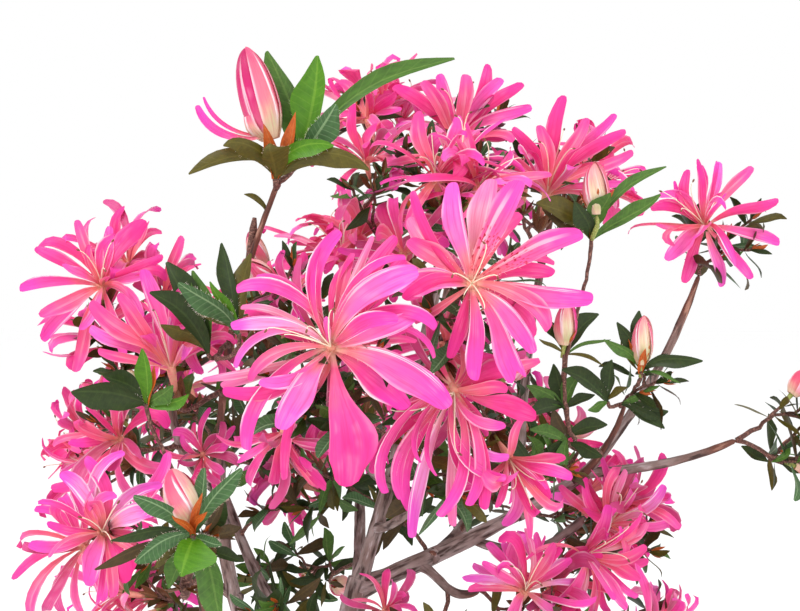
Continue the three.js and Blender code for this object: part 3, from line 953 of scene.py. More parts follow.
# Left of the front star.
leaf_spray((-20.0, -70, 192.0), (-0.1, -0.2, 1), [
    (313, 22.0, 8, 5.6, "hairy", 40, 10, -10), (332, 16.0, 6, 3.4, "bright", 50, 0, 4),
    (348, 26.0, -4, 5.0, "dark", 40, 0, -6), (8, 22.0, -4, 5.4, "olive", 40, 0, 8),
    (300, 15.0, 0, 4.0, "olive", 30, 10, 0)], 30)
leaf_spray((-31.0, -52, 186.0), (-0.1, -0.2, 1), [
    (318, 24.0, 6, 7.0, "dark", 40, 10, -20), (336, 30.0, 0, 8.0, "dark", 40, 20, -10),
    (300, 15.0, 4, 4.6, "olive", 40, 5, -8), (350, 24.0, 2, 6.0, "mid", 40, 10, 0)], 12)
# Far left, under the left fan.
leaf_spray((-47.0, -64, 172.0), (0, -0.3, 1), [
    (358, 16.0, 4, 4.8, "bright", 50, 0, -8), (280, 20.0, 8, 8.6, "dark", 10, 10, -14),
    (304, 15.0, 0, 5.4, "dark", 30, 10, -10), (55, 10.0, 4, 4.6, "mid", 20, 0, -18),
    (74, 13.0, 4, 3.6, "bright", 10, 0, -20), (12, 12.0, 2, 3.6, "bract", 60, 0, 4)], 12)
# Low left, with its bud.
bud((-30.8, -95, 142.5), (-0.3, -0.1, 1), 15.5, 4.5, (8, 13, 8, 13, 9), 6)
leaf_spray((-29.5, -96, 139.5), (-0.1, -0.2, 1), [
    (36, 22.0, 2, 4.6, "hairy", 40, 0, 8), (308, 19.0, 6, 4.6, "hairy", 40, 30, -20),
    (8, 18.0, -3, 3.6, "hairy", 30, 10, 0), (330, 15.0, -3, 4.0, "olive", 30, 10, 0),
    (194, 9.0, 9, 11.0, "bright", 20, 30, 0), (268, 21.0, 4, 3.2, "dark", 20, 20, -10),
    (244, 16.0, 6, 5.0, "hairy", 20, 20, -8), (252, 28.0, -2, 3.4, "bronze", 10, 10, -8),
    (100, 8.0, 4, 3.2, "hairy", 20, 10, -20), (162, 25.0, 2, 7.4, "mid", 20, 0, 6),
    (205, 16.0, -2, 5.0, "mid", 20, 0, 0), (228, 14.0, -2, 4.0, "olive", 20, 20, -8),
    (326, 8.0, 9, 2.6, "bract", 50, 0, 0), (36, 8.0, 8, 2.6, "bract", 50, 0, 0),
    (14, 13.0, 7, 2.8, "bract", 50, 0, 0)], 24, 1.0)
old_scales = np.array([-33.0, -90.0, 125.0])
scales(old_scales, UP, 14, 4.5, "husk", 80, 1.2)
arrive_at(old_scales, UP, 1.0)
stalks.append(tube(np.linspace(old_scales, (-29.5, -96, 139.5), 5), [1.1, 1.0, 0.95, 0.9, 0.8],
                   STRIP_OF_STALK["wood"], 8))
# The sprays at the right, each round a bud.
bud((75.0, -30, 188.0), (0.1, -0.1, 1), 13.5, 3.2, (9, 5, 8, 9, 5), 4)
leaf_spray((75.0, -30, 185.0), (0, 0, 1), [
    (40, 17.0, -2, 5.6, "dark", 30, 10, 14), (300, 9.0, 3, 1.4, "olive", 30, 0, 0),
    (68, 15.0, 3, 1.3, "mid", 30, 10, 10), (105, 12.0, 3, 1.3, "olive", 20, 0, 20),
    (330, 12.0, -4, 4.4, "dark", 40, 20, -10)], 0)
bud((98.6, -30, 182.0), (0.05, -0.1, 1), 15.0, 3.0, (8, 13, 8, 13, 8), 6)
leaf_spray((98.4, -30, 180.0), (0, 0, 1), [
    (1, 19.0, -5, 5.4, "dark", 40, 10, -4), (335, 16.5, -2, 4.6, "dark", 50, 10, -16),
    (308, 15.0, 4, 3.4, "mid", 40, 10, -10), (80, 18.5, 4, 4.2, "dark", 40, 20, 12),
    (104, 12.0, 3, 1.4, "mid", 30, 10, 0), (4, 8.0, 6, 3.6, "bract", 70, 0, 0)], 12)
leaf_spray((88.6, -28, 170.5), (-0.1, 0, 1), [
    (5, 12.5, 2, 4.8, "dark", 20, 10, 4), (306, 18.0, 4, 5.6, "dark", 10, 10, -14),
    (324, 11.0, 2, 3.6, "mid", 20, 10, -6), (52, 7.0, 4, 2.4, "olive", 20, 10, 0),
    (250, 7.0, 4, 2.8, "mid", 20, 10, 0)], 8)
leaf_spray((93.0, -26, 169.5), (0.4, 0, 0.6), [
    (98, 14.0, 3, 4.8, "dark", 20, 20, -8), (122, 14.5, 4, 4.0, "dark", 10, 10, -8),
    (66, 6.0, 2, 2.4, "mid", 10, 10, 0)], 8)
leaf_spray((76.0, -24, 168.0), (-0.2, 0, 1), [
    (345, 15.0, 2, 5.0, "dark", 30, 10, 8), (300, 14.0, 4, 4.6, "mid", 20, 10, -10),
    (262, 12.0, 4, 4.8, "dark", 20, 20, -8), (20, 12.0, 2, 4.6, "mid", 30, 10, 10),
    (64, 10.0, 2, 3.4, "dark", 20, 10, 0)], 8)
leaf_spray((77.0, -22, 158.0), (-0.2, 0, 1), [
    (335, 11.0, 2, 4.4, "bronze", 30, 10, 8), (290, 13.0, 4, 4.0, "mid", 20, 10, -10),
    (70, 13.0, 2, 5.0, "dark", 20, 10, 8), (110, 11.0, 3, 4.2, "dark", 20, 10, 0),
    (190, 9.0, 4, 4.2, "mid", 20, 10, 0), (225, 11.0, 2, 4.0, "dark", 20, 10, 0)], 8)
leaf_spray((66.0, -20, 150.0), (0.1, 0, 1), [
    (330, 14.0, 2, 4.4, "dark", 30, 10, 8), (20, 14.0, 2, 4.4, "mid", 30, 10, 8),
    (280, 12.0, 3, 4.4, "mid", 30, 10, 8), (75, 12.0, 2, 4.0, "bronze", 30, 10, 8)], 8)
# Under the fan at the top right, with a cream bud.
bud((84.4, -36, 227.5), (-0.05, -0.1, 1), 16.0, 3.7, (8, 13, 8, 13, 8), 6)
stalks.append(tube(np.linspace((84.6, -35.7, 224.2), (83.0, -33, 220.0), 4), [0.8] * 4,
                   STRIP_OF_STALK["green"]))
leaf_spray((83.0, -33, 220.5), (0, 0, 1), [
    (303, 20.5, 5, 7.2, "olive", 30, 10, -18), (20, 13.6, 9, 6.6, "mid", 40, 10, 8),
    (298, 17.0, 1, 5.6, "bronze", 40, 20, -10), (56, 25.0, 2, 4.6, "mid", 20, 10, -12),
    (48, 32.0, -6, 3.2, "mid", 20, 20, 24), (332, 12.5, 7, 6.0, "dark", 40, 20, -10),
    (2, 13.0, 7, 2.6, "bract", 70, 0, 0), (24, 17.0, 1, 3.0, "bract", 70, 0, 6)], 8)
print(len(leaves), "leaves and bracts,", len(ends), "shoots to reach")

# %% [markdown]
# ## Filling the masses
#
# Every other shoot is dealt out by a seeded rule. The imported masses say where the growth is: each
# one gets shoots in proportion to its bulk, spread round its middle and pointing away from the
# crown's. Some carry a bloom, some a bud, and the rest only leaves. The places where the
# blooms laid out one by one look out at the front are kept clear, so nothing grows across them.

# %% The seeded shoots
CROWN_HEART = np.array([18.0, 5.0, 140.0])
BULK_PER_SHOOT = 1900.0  # half sizes multiplied together, mm3
BULK_PER_LEAFY = 900.0  # the same for the masses that hold only leaves
BLOOMS = 3  # blooms in each mass that is neither laid out one by one nor only leaves
BUDDED = 0.2  # share of shoots with no bloom that carry a bud, where nothing is laid out one by one
BLOOM_OUT, BUD_OUT, LEAF_OUT = 0.34, 0.72, 0.78  # how far out in its mass each shoot stands
TUCKED = 0.55  # the same for leaves behind blooms laid out one by one
THICKET = 34  # shoots in the thicket inside the crown
BARE = {"mass_bud_spray", "mass_right_bud_pair"}  # all of their growth is laid out one by one
HAND_LAID = {
    "mass_front_left", "mass_front_right", "mass_pendant", "mass_left", "mass_top_centre",
    "mass_top_right", "mass_far_right", "mass_low_right", "mass_low_front", "mass_low_left",
    "mass_right_buds", "mass_right_leaves",
}
LEAFY = {
    "mass_inner_leaves", "mass_inner_right", "mass_right_tip", "mass_low_inner",
    "mass_low_middle", "mass_back_low",
}
# Leaf looks for the inside of the crown, weighted to the dark strip: partly painted shade, which
# darkens the crown's inside.
SHADE_DARKENED_GREENS = ["dark", "dark", "mid", "olive", "bronze", "hairy"]


def even_directions(count):
    """Directions spread evenly over a ball."""
    k = np.arange(count) + 0.5
    tilt = np.arccos(1 - 2 * k / count)
    turn = np.pi * (1 + 5**0.5) * k
    return np.stack([np.cos(turn) * np.sin(tilt), np.sin(turn) * np.sin(tilt), np.cos(tilt)], 1)


def leafy_shoot(place, axis, look, tilt, count, length, spread, radius=0.45):
    """A shoot with only scales and leaves, and the twig that it asks for."""
    scales(place, axis, 3, 5, look, tilt)
    # Its leaves take the shade-darkened greens: partly painted shade.
    whorl(place, axis, count, length, SHADE_DARKENED_GREENS, spread, rng.uniform(0, 360))
    arrive_at(place, axis, radius)


def fill_mass(name):
    """Shoots for one mass, as its bulk and its place ask."""
    low, high = (np.array(corner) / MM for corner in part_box(name))
    middle, half = (low + high) / 2, (high - low) / 2
    outward = unit(middle - CROWN_HEART)
    hand_laid, leafy = name in HAND_LAID, name in LEAFY
    count = 3 + int(half.prod() / (BULK_PER_LEAFY if leafy else BULK_PER_SHOOT))
    blooms = 0 if hand_laid or leafy else BLOOMS
    ways = even_directions(2 * count)
    aim = np.array([0.0, 1.0, 0.0]) if hand_laid else outward
    order = np.argsort(-(ways @ aim) + rng.uniform(-0.25, 0.25, len(ways)))
    for rank, way in enumerate(ways[order][:count]):
        if hand_laid and way[2] > 0.3:  # it would stand up behind the blooms that are laid there
            continue
        axis = unit(0.6 * way + 0.7 * outward + 0.35 * UP + rng.normal(0, 0.12, 3))
        if rank < blooms:
            place = middle + half * way * BLOOM_OUT + rng.normal(0, 1.5, 3)
            throat = place + axis * 3
            end = loose_star(throat, axis, rng.uniform(0.82, 1.0), int(rng.integers(14, 19)))
            scales(end, axis, 4, 8, "husk", 30)
            # Leaves in the shade-darkened greens: partly painted shade.
            whorl(end - axis * 1.5, axis, 4, 13, SHADE_DARKENED_GREENS, (60, 110), rng.uniform(0, 360))
            arrive_at(end, axis, 0.5)
        elif rng.random() < BUDDED and not hand_laid:
            place = middle + half * way * BUD_OUT
            end = bud(place, axis, rng.uniform(9, 14), rng.uniform(2.6, 3.6),
                      (9, 5, 9, 4, 9) if rng.random() < 0.6 else (8, 9, 8, 4, 8))
            # Leaves in the shade-darkened greens: partly painted shade.
            whorl(end, axis, 5, 13, SHADE_DARKENED_GREENS, (50, 100), rng.uniform(0, 360))
            arrive_at(end, axis, 0.5)
        else:
            place = middle + half * way * (TUCKED if hand_laid else LEAF_OUT)
            leafy_shoot(place, axis, "bract", 20, 7, 14, (25, 100), 0.5)


for name in sorted(set(MASSES) - BARE):
    fill_mass(name)
# Dark leaves under the top blooms, in the shade-darkened greens: painted shade under the blooms.
for place in [(26, -30, 246), (34, -32, 250), (42, -32, 251), (49, -34, 246), (20, -36, 240),
              (30, -38, 239), (10, -40, 236), (18, -44, 234), (56, -34, 240)]:
    axis = unit((rng.normal(0, 0.3), -0.6, 0.8))
    leafy_shoot(np.array(place), axis, "husk", 25, 6, 12, (30, 100))
# The thicket inside the crown, between the front blooms and the boughs. Its leaves take the
# shade-darkened greens, which are partly painted shade.
THICKET_LOW, THICKET_HIGH = np.array([-42.0, 8.0, 122.0]), np.array([72.0, 52.0, 172.0])
for _ in range(THICKET):
    place = THICKET_LOW + (THICKET_HIGH - THICKET_LOW) * rng.random(3)
    axis = unit(unit(place - CROWN_HEART) + 0.5 * UP + rng.normal(0, 0.4, 3))
    leafy_shoot(place, axis, "husk", 25, 6, 14, (30, 100))
print(len(petals), "petals,", len(leaves), "leaves and bracts,", len(ends), "shoots to reach")

# %% [markdown]
# ## Twigs
#
# Now every shoot has to be joined to the wood. A twig is grown to each shoot's end, nearest
# first. It looks for the best place to start on the wood that is already there, which is near,
# further in than the shoot, and in line with it. Then it follows one curve, and it can carry later
# twigs itself. This gives forks like those of the real plant, from one simple rule.

# %% The twigs
KNUCKLE = 5.0  # distance between the little leaf scars along a twig, mm
ASTRAY = 0.7  # how much dearer a start is if the way from it is square to the shoot
SQUARE_ON = 0.25  # how much dearer it is if that way is square to the parent
TOO_NEAR, TOO_THIN = 30, 12  # extra cost, mm: a start under 4 mm away, or clearly thinner
LEAVE, ARRIVE = 0.22, 0.33  # reach of the twig's two inner handles, as shares of its span


def wood_points():
    """Points along the limbs where a twig may start: places, directions and radii."""
    places, ways, sizes = [], [], []
    for name, (line, radius) in limb_lines.items():
        first = 0.35 if name == "trunk" else 0.25
        share = np.linspace(first, 1.0, 26)
        points = line(share)
        places.append(points)
        ways.append(np.gradient(points, axis=0))
        sizes.append(radius(share))
    ways = np.concatenate(ways)
    return np.concatenate(places), ways / np.linalg.norm(ways, axis=1)[:, None], np.concatenate(sizes)


def grow_twigs():
    """Grows a twig to every shoot's end."""
    places, ways, sizes = wood_points()
    order = sorted(ends, key=lambda e: np.linalg.norm(places - e[0], axis=1).min())
    for end, axis, size in order:
        offset = end - places
        distance = np.linalg.norm(offset, axis=1) + 1e-6
        line_up = (offset @ axis) / distance
        follow = np.einsum("ij,ij->i", offset, ways) / distance
        cost = distance * (1 + ASTRAY * (1 - line_up) + SQUARE_ON * (1 - follow))
        cost += np.where(distance < 4, TOO_NEAR, 0) + np.where(sizes < size * 0.9, TOO_THIN, 0)
        pick = int(cost.argmin())
        span = distance[pick]
        leaving = (ways[pick] + offset[pick] / span) * span * LEAVE
        path = arc(places[pick], places[pick] + leaving, end - axis * span * ARRIVE, end,
                   max(6, int(span / 2.2)))
        steps = len(path) - 1
        thick = min(sizes[pick] * 0.92, size + 0.016 * span)
        radii = np.linspace(thick, size, steps + 1)
        knuckles = np.arange(steps + 1) * span / steps
        radii = radii * (1 + 0.10 * np.cos(knuckles * 2 * np.pi / KNUCKLE) ** 6)
        radii *= rng.uniform(0.94, 1.06, steps + 1)
        wobble = rng.normal(0, 0.22, path.shape)
        wobble[0] = wobble[-1] = 0
        stalks.append(tube(path + wobble, radii, STRIP_OF_STALK["wood"], 7))
        keep = slice(1, max(2, int(steps * 0.75)))
        places = np.concatenate([places, path[keep]])
        run = np.gradient(path, axis=0)[keep]
        ways = np.concatenate([ways, run / np.linalg.norm(run, axis=1)[:, None]])
        sizes = np.concatenate([sizes, radii[keep]])


grow_twigs()
print(len(stalks), "twigs and stalks")

# %% [markdown]
# ## Petal colour
#
# A petal of this plant starts salmon at its claw, turns hot pink, and ends in magenta. Many have
# one white stripe or a pale rolled edge. Petals are soft, with fine veins along them, and light
# passes through them, so the shader is part diffuse and part translucent. The strip under the
# blade picks the colours from ramps that change in steps.

# %% Colours of the petals
PETAL = (5.5, 28.0)  # usual width and length of a petal, mm: the pattern scales start from it
PETAL_STRIPS = [
    # claw, middle, tip, stripe's place across, stripe, edge, speckle (all 0 to 1)
    ("#EC6488", "#F6489A", "#F22C8C", 0.5, 0.00, 0.10, 0.0),
    ("#F4848A", "#F860AC", "#F748B4", 0.24, 0.90, 0.30, 0.0),
    ("#F0748C", "#F44CA2", "#F644B6", 0.5, 0.00, 1.00, 0.0),
    ("#F7908A", "#F86890", "#F64CA0", 0.6, 0.15, 0.30, 0.0),
    ("#F6B6AC", "#F79CBA", "#F474B2", 0.45, 0.40, 0.50, 0.0),
    ("#EA5078", "#EA3888", "#EE3498", 0.5, 0.00, 0.25, 0.0),
    ("#EE6C78", "#F45896", "#F84CB2", 0.7, 0.45, 0.30, 1.0),
    ("#F28A94", "#F868B8", "#F85EC8", 0.24, 0.50, 0.60, 0.0),
    ("#C9CB8C", "#E9D8B4", "#F09CA0", 0.5, 0.30, 0.60, 0.0),
    ("#EEC0A8", "#E45878", "#DC3474", 0.3, 0.90, 0.60, 0.0),
    ("#F6B0B4", "#F59AD8", "#EE56CC", 0.3, 1.00, 1.00, 0.0),
    # The row below is painted shade: a dim mauve pink for petals deep in the crown.
    ("#B85A62", "#C8447C", "#CC4688", 0.5, 0.00, 0.40, 0.0),
    ("#DC6488", "#CA206E", "#B8145E", 0.62, 0.55, 0.20, 0.0),
    ("#DACBA0", "#EC7890", "#E24E7C", 0.40, 1.00, 0.60, 0.0),
]


def cells(sheet, across, along):
    """The scale that makes a pattern's cells across x along mm on a sheet of the usual size."""
    return (sheet[0] / across * STRIPS, sheet[1] / along, 1.0)


def strip_places(tree):
    """The square's places, the place across it, across the strip, and along the strip."""
    layer = add(tree, "UVMap", uv_map="OFBake")
    parts = add(tree, "SeparateXYZ", {0: layer})
    wide = add(tree, "Math", {0: parts, 1: float(STRIPS)}, operation="MULTIPLY")
    local = add(tree, "Math", {0: wide}, operation="FRACT")
    return layer, parts.outputs[0], local, parts.outputs[1]


def strip_stops(rows, column):
    """Ramp stops that hold one value of each row for its strip."""
    values = [row[column] for row in rows]
    colours = [linear(v) if isinstance(v, str) else (v, v, v, 1) for v in values]
    return [(i / STRIPS, colour) for i, colour in enumerate(colours)]


def strip_ramps(tree, across, rows):
    """A stepped ramp for each column of the rows, read by the place across the square."""
    ramps = []
    for column in range(len(rows[0])):
        ramps.append(add(tree, "ValToRGB", {0: across}, strip_stops(rows, column)))
        ramps[-1].color_ramp.interpolation = "CONSTANT"
    return ramps


# %% The petal: its ground colours
# Thin, soft tissue full of water: a satin surface, and it glows when light is behind it.
petal_skin, tree, out = new_material("azalea petal")
layer, across, local, along = strip_places(tree)
claw, middle, tip, stripe_at, stripe, edge, speckle = strip_ramps(tree, across, PETAL_STRIPS)
# Colour runs along the petal in patches 1.6 mm wide and 13 mm long, and drifts over 8 mm, so that
# no two petals change at the same height.
runs = add(tree, "Mapping", {0: layer, 3: cells(PETAL, 1.6, 13.0)})
uneven = add(tree, "TexNoise", {"Vector": runs, "Scale": 1.0, "Detail": 2.0})
spot = add(tree, "TexCoord").outputs["Object"]
drift = add(tree, "TexNoise", {"Vector": spot, "Scale": 1 / 0.008, "Detail": 1.0})
shift = add(tree, "Math", {0: uneven, 1: 0.22, 2: along}, operation="MULTIPLY_ADD")
shift = add(tree, "Math", {0: drift, 1: 0.50, 2: shift}, operation="MULTIPLY_ADD")
lower = add(tree, "MapRange", {0: shift, 1: 0.48, 2: 0.86}, interpolation_type="SMOOTHSTEP")
upper = add(tree, "MapRange", {0: shift, 1: 0.88, 2: 1.32}, interpolation_type="SMOOTHSTEP")
colour = add(tree, "Mix", {0: lower, 6: claw, 7: middle}, data_type="RGBA")
colour = add(tree, "Mix", {0: upper, 6: colour, 7: tip}, data_type="RGBA")
# Pale streaks 0.6 mm wide along the petal, shown in object-space patches 6 mm across: the streaks are
# the petal's own, and the patches that bring them out are painted highlight, as where the sun catches
# a petal.
pale_streak_run = add(tree, "Mapping", {0: layer, 3: cells(PETAL, 0.6, 24.0)})
pale_streak = add(tree, "TexNoise", {"Vector": pale_streak_run, "Scale": 1.0, "Detail": 2.0})
# Painted highlight: patches in object space where the pale streaks light up.
glint_patch = add(tree, "TexNoise", {"Vector": spot, "Scale": 1 / 0.006, "Detail": 1.0})
on_glint_patch = add(tree, "MapRange", {0: glint_patch, 1: 0.48, 2: 0.66, 4: 0.2})
on_streak_glint = add(tree, "MapRange", {0: pale_streak, 1: 0.42, 2: 0.60, 4: on_glint_patch})
colour = add(tree, "Mix", {0: on_streak_glint, 6: colour, 7: linear("#FDB4D2")}, data_type="RGBA")
# The throat is cream for its first 3 mm.
throat_glow = add(tree, "MapRange", {0: along, 1: 0.15, 2: 0.06, 4: 0.8})
colour = add(tree, "Mix", {0: throat_glow, 6: colour, 7: linear("#F4D8B8")}, data_type="RGBA")
# Veins 0.32 mm wide, each of which runs for about 12 mm along the petal.
vein_run = add(tree, "Mapping", {0: layer, 3: cells(PETAL, 0.32, 12.0)})
vein = add(tree, "TexNoise", {"Vector": vein_run, "Scale": 1.0, "Detail": 2.0})
on_vein = add(tree, "MapRange", {0: vein, 1: 0.50, 2: 0.68, 4: 0.38})
colour = add(tree, "Mix", {0: on_vein, 6: colour, 7: linear("#D61C70")}, data_type="RGBA")

# %% The petal: its stripe, edge and speckles
# A stripe about 0.7 mm wide, frayed by noise, that starts above the claw and ends short of the tip.
envelope = add(tree, "ValToRGB", {0: along}, [
    (0.10, (0, 0, 0, 1)), (0.28, (1, 1, 1, 1)), (0.74, (1, 1, 1, 1)), (0.92, (0, 0, 0, 1))])
gap = add(tree, "Math", {0: local, 1: stripe_at}, operation="SUBTRACT")
gap = add(tree, "Math", {0: gap}, operation="ABSOLUTE")
on_stripe = add(tree, "MapRange", {0: gap, 1: 0.085, 2: 0.035, 4: stripe},
                interpolation_type="SMOOTHSTEP")
on_stripe = add(tree, "MapRange", {0: vein, 1: 0.34, 2: 0.50, 4: on_stripe})
on_stripe = add(tree, "Math", {0: on_stripe, 1: envelope}, operation="MULTIPLY")
colour = add(tree, "Mix", {0: on_stripe, 6: colour, 7: linear("#FEF0F4")}, data_type="RGBA")
# The pale rolled edge is about the outer 0.4 mm.
rim = add(tree, "Math", {0: local, 1: 0.5}, operation="SUBTRACT")
rim = add(tree, "Math", {0: rim}, operation="ABSOLUTE")
on_rim = add(tree, "MapRange", {0: rim, 1: 0.36, 2: 0.44, 4: edge}, interpolation_type="SMOOTHSTEP")
on_rim = add(tree, "MapRange", {0: uneven, 1: 0.38, 2: 0.52, 4: on_rim})
on_rim = add(tree, "Math", {0: on_rim, 1: envelope}, operation="MULTIPLY")
colour = add(tree, "Mix", {0: on_rim, 6: colour, 7: linear("#FDE8F0")}, data_type="RGBA")
# Speckles 0.36 mm across and 1.1 mm long, on the lower half.
freckled = add(tree, "Mapping", {0: layer, 3: cells(PETAL, 0.36, 1.1)})
freckle = add(tree, "TexNoise", {"Vector": freckled, "Scale": 1.0, "Detail": 0.0})
on_freckle = add(tree, "MapRange", {0: freckle, 1: 0.60, 2: 0.68, 4: speckle})
lower_half = add(tree, "MapRange", {0: along, 1: 0.62, 2: 0.46, 4: on_freckle})
colour = add(tree, "Mix", {0: lower_half, 6: colour, 7: linear("#B8163C")}, data_type="RGBA")

# %% The petal: its surface
relief = add(tree, "Bump", {"Height": vein, "Strength": 0.3, "Distance": 0.0005})
soft = add(tree, "BsdfPrincipled", {
    "Base Color": colour, "Roughness": 0.42, "Specular IOR Level": 0.30, "Sheen Weight": 0.1,
    "Normal": relief})
glow = add(tree, "BsdfTranslucent", {"Color": colour})
both = add(tree, "MixShader", {0: 0.2, 1: soft, 2: glow})
tree.links.new(both.outputs[0], out.inputs["Surface"])
print(petal_skin.name, "with", len(tree.nodes), "nodes")

# %% [markdown]
# ## Leaf colour
#
# The leaves are leathery and dark, with a pale midrib and sunken side veins. Young ones are bright
# green, old ones turn bronze, and their undersides are olive. The bud scales are rust-brown paper.
# One material holds all of them, with a strip of the square for each.

# %% The leaf material
LEAF = (5.0, 20.0)  # usual width and length of a leaf, mm
VEIN_STEP = 1.6  # distance between side veins along the midrib, mm
VEIN_RISE = 2.1  # how far a side vein climbs on its way to the edge, mm
LEAF_STRIPS = [
    # blade, its mottle, rib and veins, how much the veins show
    # The dark, olive and bronze strips are darkened past the leaves' own greens: partly painted
    # shade, for the leaves inside the crown.
    ("#2C3E12", "#20300C", "#5A7434", 0.16),
    ("#4C7428", "#3C5C20", "#86A850", 0.24),
    ("#508412", "#42740C", "#88B03C", 0.28),
    ("#5A5214", "#484210", "#807634", 0.20),
    ("#44683A", "#365430", "#98B484", 0.46),
    ("#4A3816", "#3A2C12", "#725E34", 0.20),
    ("#CC6224", "#A84A18", "#E8A05C", 0.25),
    ("#7C4C2C", "#5E3820", "#A88458", 0.30),
]
leaf_skin, tree, out = new_material("leathery azalea leaf")
layer, across, local, along = strip_places(tree)
flesh, edging, rib, show = strip_ramps(tree, across, LEAF_STRIPS)
# Mottled in patches 0.8 mm wide and 2 mm long, as a rough, hairy leaf is.
mottled = add(tree, "Mapping", {0: layer, 3: cells(LEAF, 0.8, 2.0)})
mottle = add(tree, "TexNoise", {"Vector": mottled, "Scale": 1.0, "Detail": 3.0})
on_mottle = add(tree, "MapRange", {0: mottle, 1: 0.3, 2: 0.7})
colour = add(tree, "Mix", {0: on_mottle, 6: flesh, 7: edging}, data_type="RGBA")
# A midrib 0.4 mm wide. The side veins are a sine along the leaf, which the slant turns forward.
off = add(tree, "Math", {0: local, 1: 0.5}, operation="SUBTRACT")
off = add(tree, "Math", {0: off}, operation="ABSOLUTE")
midrib = add(tree, "MapRange", {0: off, 1: 0.055, 2: 0.020, 4: show}, interpolation_type="SMOOTHSTEP")
turn = 2 * math.pi / VEIN_STEP
slant = add(tree, "Math", {0: off, 1: -2 * VEIN_RISE * turn}, operation="MULTIPLY")
slant = add(tree, "Math", {0: along, 1: LEAF[1] * turn, 2: slant}, operation="MULTIPLY_ADD")
side_vein = add(tree, "Math", {0: slant}, operation="SINE")
side_vein = add(tree, "MapRange", {0: side_vein, 1: 0.75, 2: 1.0, 4: show},
                interpolation_type="SMOOTHSTEP")
fainter = add(tree, "Math", {0: side_vein, 1: 0.35}, operation="MULTIPLY")
colour = add(tree, "Mix", {0: fainter, 6: colour, 7: rib}, data_type="RGBA")
colour = add(tree, "Mix", {0: midrib, 6: colour, 7: rib}, data_type="RGBA")
sunk = add(tree, "Math", {0: side_vein, 1: midrib}, operation="MAXIMUM")
relief = add(tree, "Bump", {"Height": sunk, "Strength": 0.35, "Distance": 0.0004}, invert=True)
soft = add(tree, "BsdfPrincipled", {
    "Base Color": colour, "Roughness": 0.46, "Specular IOR Level": 0.32, "Normal": relief})
glow = add(tree, "BsdfTranslucent", {"Color": colour})
both = add(tree, "MixShader", {0: 0.12, 1: soft, 2: glow})
tree.links.new(both.outputs[0], out.inputs["Surface"])
print(leaf_skin.name, "with", len(tree.nodes), "nodes")

# %% [markdown]
# ## Twigs, stalks and bark
#
# A twig's skin is red-brown and flaking. The flower stalks are green, and the filaments are cream
# with small brown anthers. Old bark is greyer, split into fine strips, with darker wood in the
# splits.

# %% The twig material
TWIG = (5.0, 40.0)  # usual distance round a twig, and its length, mm
STALK_STRIPS = [
    # skin, flakes
    ("#54322A", "#94685A"), ("#8A9448", "#B0B468"), ("#E6A488", "#EE7C86"), ("#F4E6C8", "#FBF2DE"),
    ("#7A4632", "#9A6444"),
]
twig_skin, tree, out = new_material("flaking azalea twig")
layer, across, local, along = strip_places(tree)
skin, flakes = strip_ramps(tree, across, STALK_STRIPS)
# Flakes 0.8 mm wide and 1.2 mm long.
flaked = add(tree, "Mapping", {0: layer, 3: cells(TWIG, 0.8, 1.2)})
flaking = add(tree, "TexNoise", {"Vector": flaked, "Scale": 1.0, "Detail": 4.0})
on_flake = add(tree, "MapRange", {0: flaking, 1: 0.48, 2: 0.64})
colour = add(tree, "Mix", {0: on_flake, 6: skin, 7: flakes}, data_type="RGBA")
relief = add(tree, "Bump", {"Height": flaking, "Strength": 0.5, "Distance": 0.0005})
rough = add(tree, "BsdfPrincipled", {
    "Base Color": colour, "Roughness": 0.72, "Normal": relief})
tree.links.new(rough.outputs[0], out.inputs["Surface"])
print(twig_skin.name, "with", len(tree.nodes), "nodes")

# %% The bark material
# Dry, matt bark. The colour strips follow the relief: five times as long as wide, and narrower.
bark_skin, tree, out = new_material("thin flaking azalea bark")
straight = add(tree, "Attribute", attribute_name="straightened").outputs["Vector"]
per_strip = 1 / FISSURE
drawn = add(tree, "Mapping", {0: straight, 3: (per_strip, per_strip, per_strip / 5)})
split = add(tree, "TexNoise", {"Vector": drawn, "Scale": 1.4, "Detail": 5.0})
# Lichen-grey patches 9 mm long.
patchy = add(tree, "TexNoise", {"Vector": straight, "Scale": 1 / 9.0, "Detail": 3.0})
on_patch = add(tree, "MapRange", {0: patchy, 1: 0.42, 2: 0.60})
in_split = add(tree, "MapRange", {0: split, 1: 0.50, 2: 0.36})
on_flake = add(tree, "MapRange", {0: split, 1: 0.58, 2: 0.70})
old = add(tree, "Mix", {0: on_patch, 6: linear("#7E6862"), 7: linear("#9A8985")}, data_type="RGBA")
old = add(tree, "Mix", {0: on_flake, 6: old, 7: linear("#B4A6A6")}, data_type="RGBA")
young = add(tree, "Mix", {0: on_flake, 6: linear("#6A4034"), 7: linear("#A87C6A")}, data_type="RGBA")
# Limbs under 1.2 mm in radius are red-brown, and those over 1.5 mm are grey.
around = add(tree, "VectorMath", {0: straight, 1: (1.0, 1.0, 0.0)}, operation="MULTIPLY")
girth = add(tree, "VectorMath", {0: around}, operation="LENGTH")
age = add(tree, "MapRange", {0: girth, 1: 1.2, 2: 1.5})
colour = add(tree, "Mix", {0: age, 6: young, 7: old}, data_type="RGBA")
colour = add(tree, "Mix", {0: in_split, 6: colour, 7: linear("#402D28")}, data_type="RGBA")
relief = add(tree, "Bump", {"Height": split, "Strength": 0.6, "Distance": 0.0006})
rough = add(tree, "BsdfPrincipled", {
    "Base Color": colour, "Roughness": 0.85, "Normal": relief})
tree.links.new(rough.outputs[0], out.inputs["Surface"])
bark_mesh.materials.append(bark_skin)

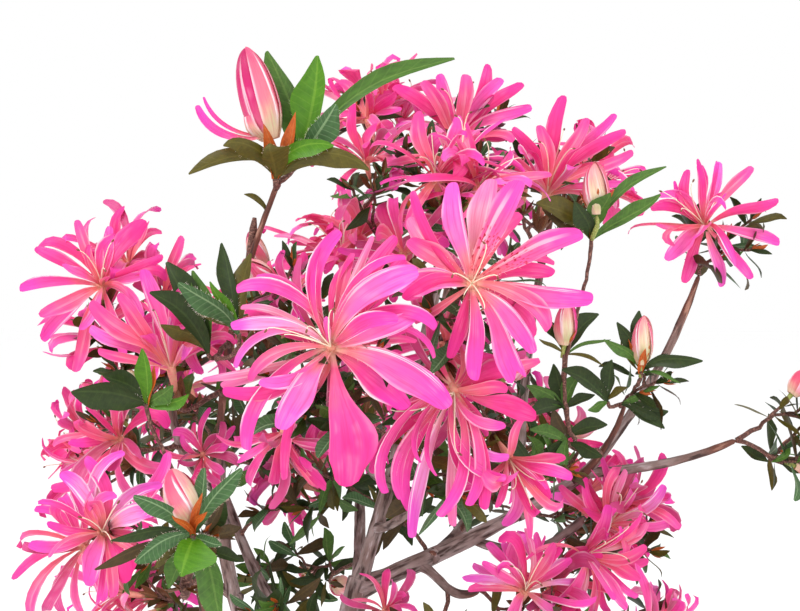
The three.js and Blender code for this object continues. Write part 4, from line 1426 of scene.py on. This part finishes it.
# %% The hair material
# Stiff plant hairs, silver to pale tan. The tint changes over 5 mm, from one tuft to the next.
down, tree, out = new_material("silvery plant hair")
spot = add(tree, "TexCoord").outputs["Object"]
tufts = add(tree, "TexNoise", {"Vector": spot, "Scale": 1 / 0.005, "Detail": 1.0})
rusty = add(tree, "MapRange", {0: tufts, 1: 0.45, 2: 0.65})
colour = add(tree, "Mix", {0: rusty, 6: linear("#EDE4D8"), 7: linear("#D8BFA4")}, data_type="RGBA")
stiff = add(tree, "BsdfPrincipled", {"Base Color": colour, "Roughness": 0.6})
tree.links.new(stiff.outputs[0], out.inputs["Surface"])
print("wood and hair have their skins")

# %% [markdown]
# ## Joining
#
# Thousands of small sheets become a few meshes, one for each kind. The corners that lie on top of
# one another, as at the seam of a stalk, are merged, and the shading is made smooth.

# %% The joined pieces
def joined(name, parts, material, stands_for=()):
    """One mesh from many parts, riding on the plant."""
    starts = np.cumsum([0] + [len(part[0]) for part in parts])
    corners = np.concatenate([part[0] for part in parts]) * MM
    faces = np.concatenate([part[1] + start for part, start in zip(parts, starts)])
    places = np.concatenate([part[2] for part in parts])
    mesh = bpy.data.meshes.new(name)
    mesh.from_pydata(corners.tolist(), [], faces.tolist())
    layer = mesh.uv_layers.new(name="OFBake")
    layer.uv.foreach_set("vector", places[faces.ravel()].ravel())
    mesh.polygons.foreach_set("use_smooth", np.ones(len(faces), bool))
    mesh.materials.append(material)
    bm = bmesh.new()
    bm.from_mesh(mesh)
    bmesh.ops.remove_doubles(bm, verts=bm.verts, dist=0.000002)
    bm.to_mesh(mesh)
    bm.free()
    piece = bpy.data.objects.new(name, mesh)
    scene.collection.objects.link(piece)
    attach(piece, "root")
    if stands_for:
        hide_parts(*stands_for)
    triangles = sum(len(p.vertices) - 2 for p in mesh.polygons)
    print(name, triangles, "triangles")


half_way = len(petals) // 2
joined("petals_front", petals[:half_way], petal_skin,
       [name for name in MASSES if name not in LEAFY])
joined("petals_round", petals[half_way:], petal_skin)
joined("leaves", leaves, leaf_skin, sorted(LEAFY & set(MASSES)))
joined("twigs_and_stalks", stalks, twig_skin)
joined("filaments", threads, twig_skin)
joined("hairs", hairs, down)

# %% Sizes and finish
grown_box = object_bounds()
for side, (low, high) in (("packed", cad_box), ("grown", grown_box)):
    print(side, [round(v * 1000) for v in low], [round(v * 1000) for v in high], "mm")
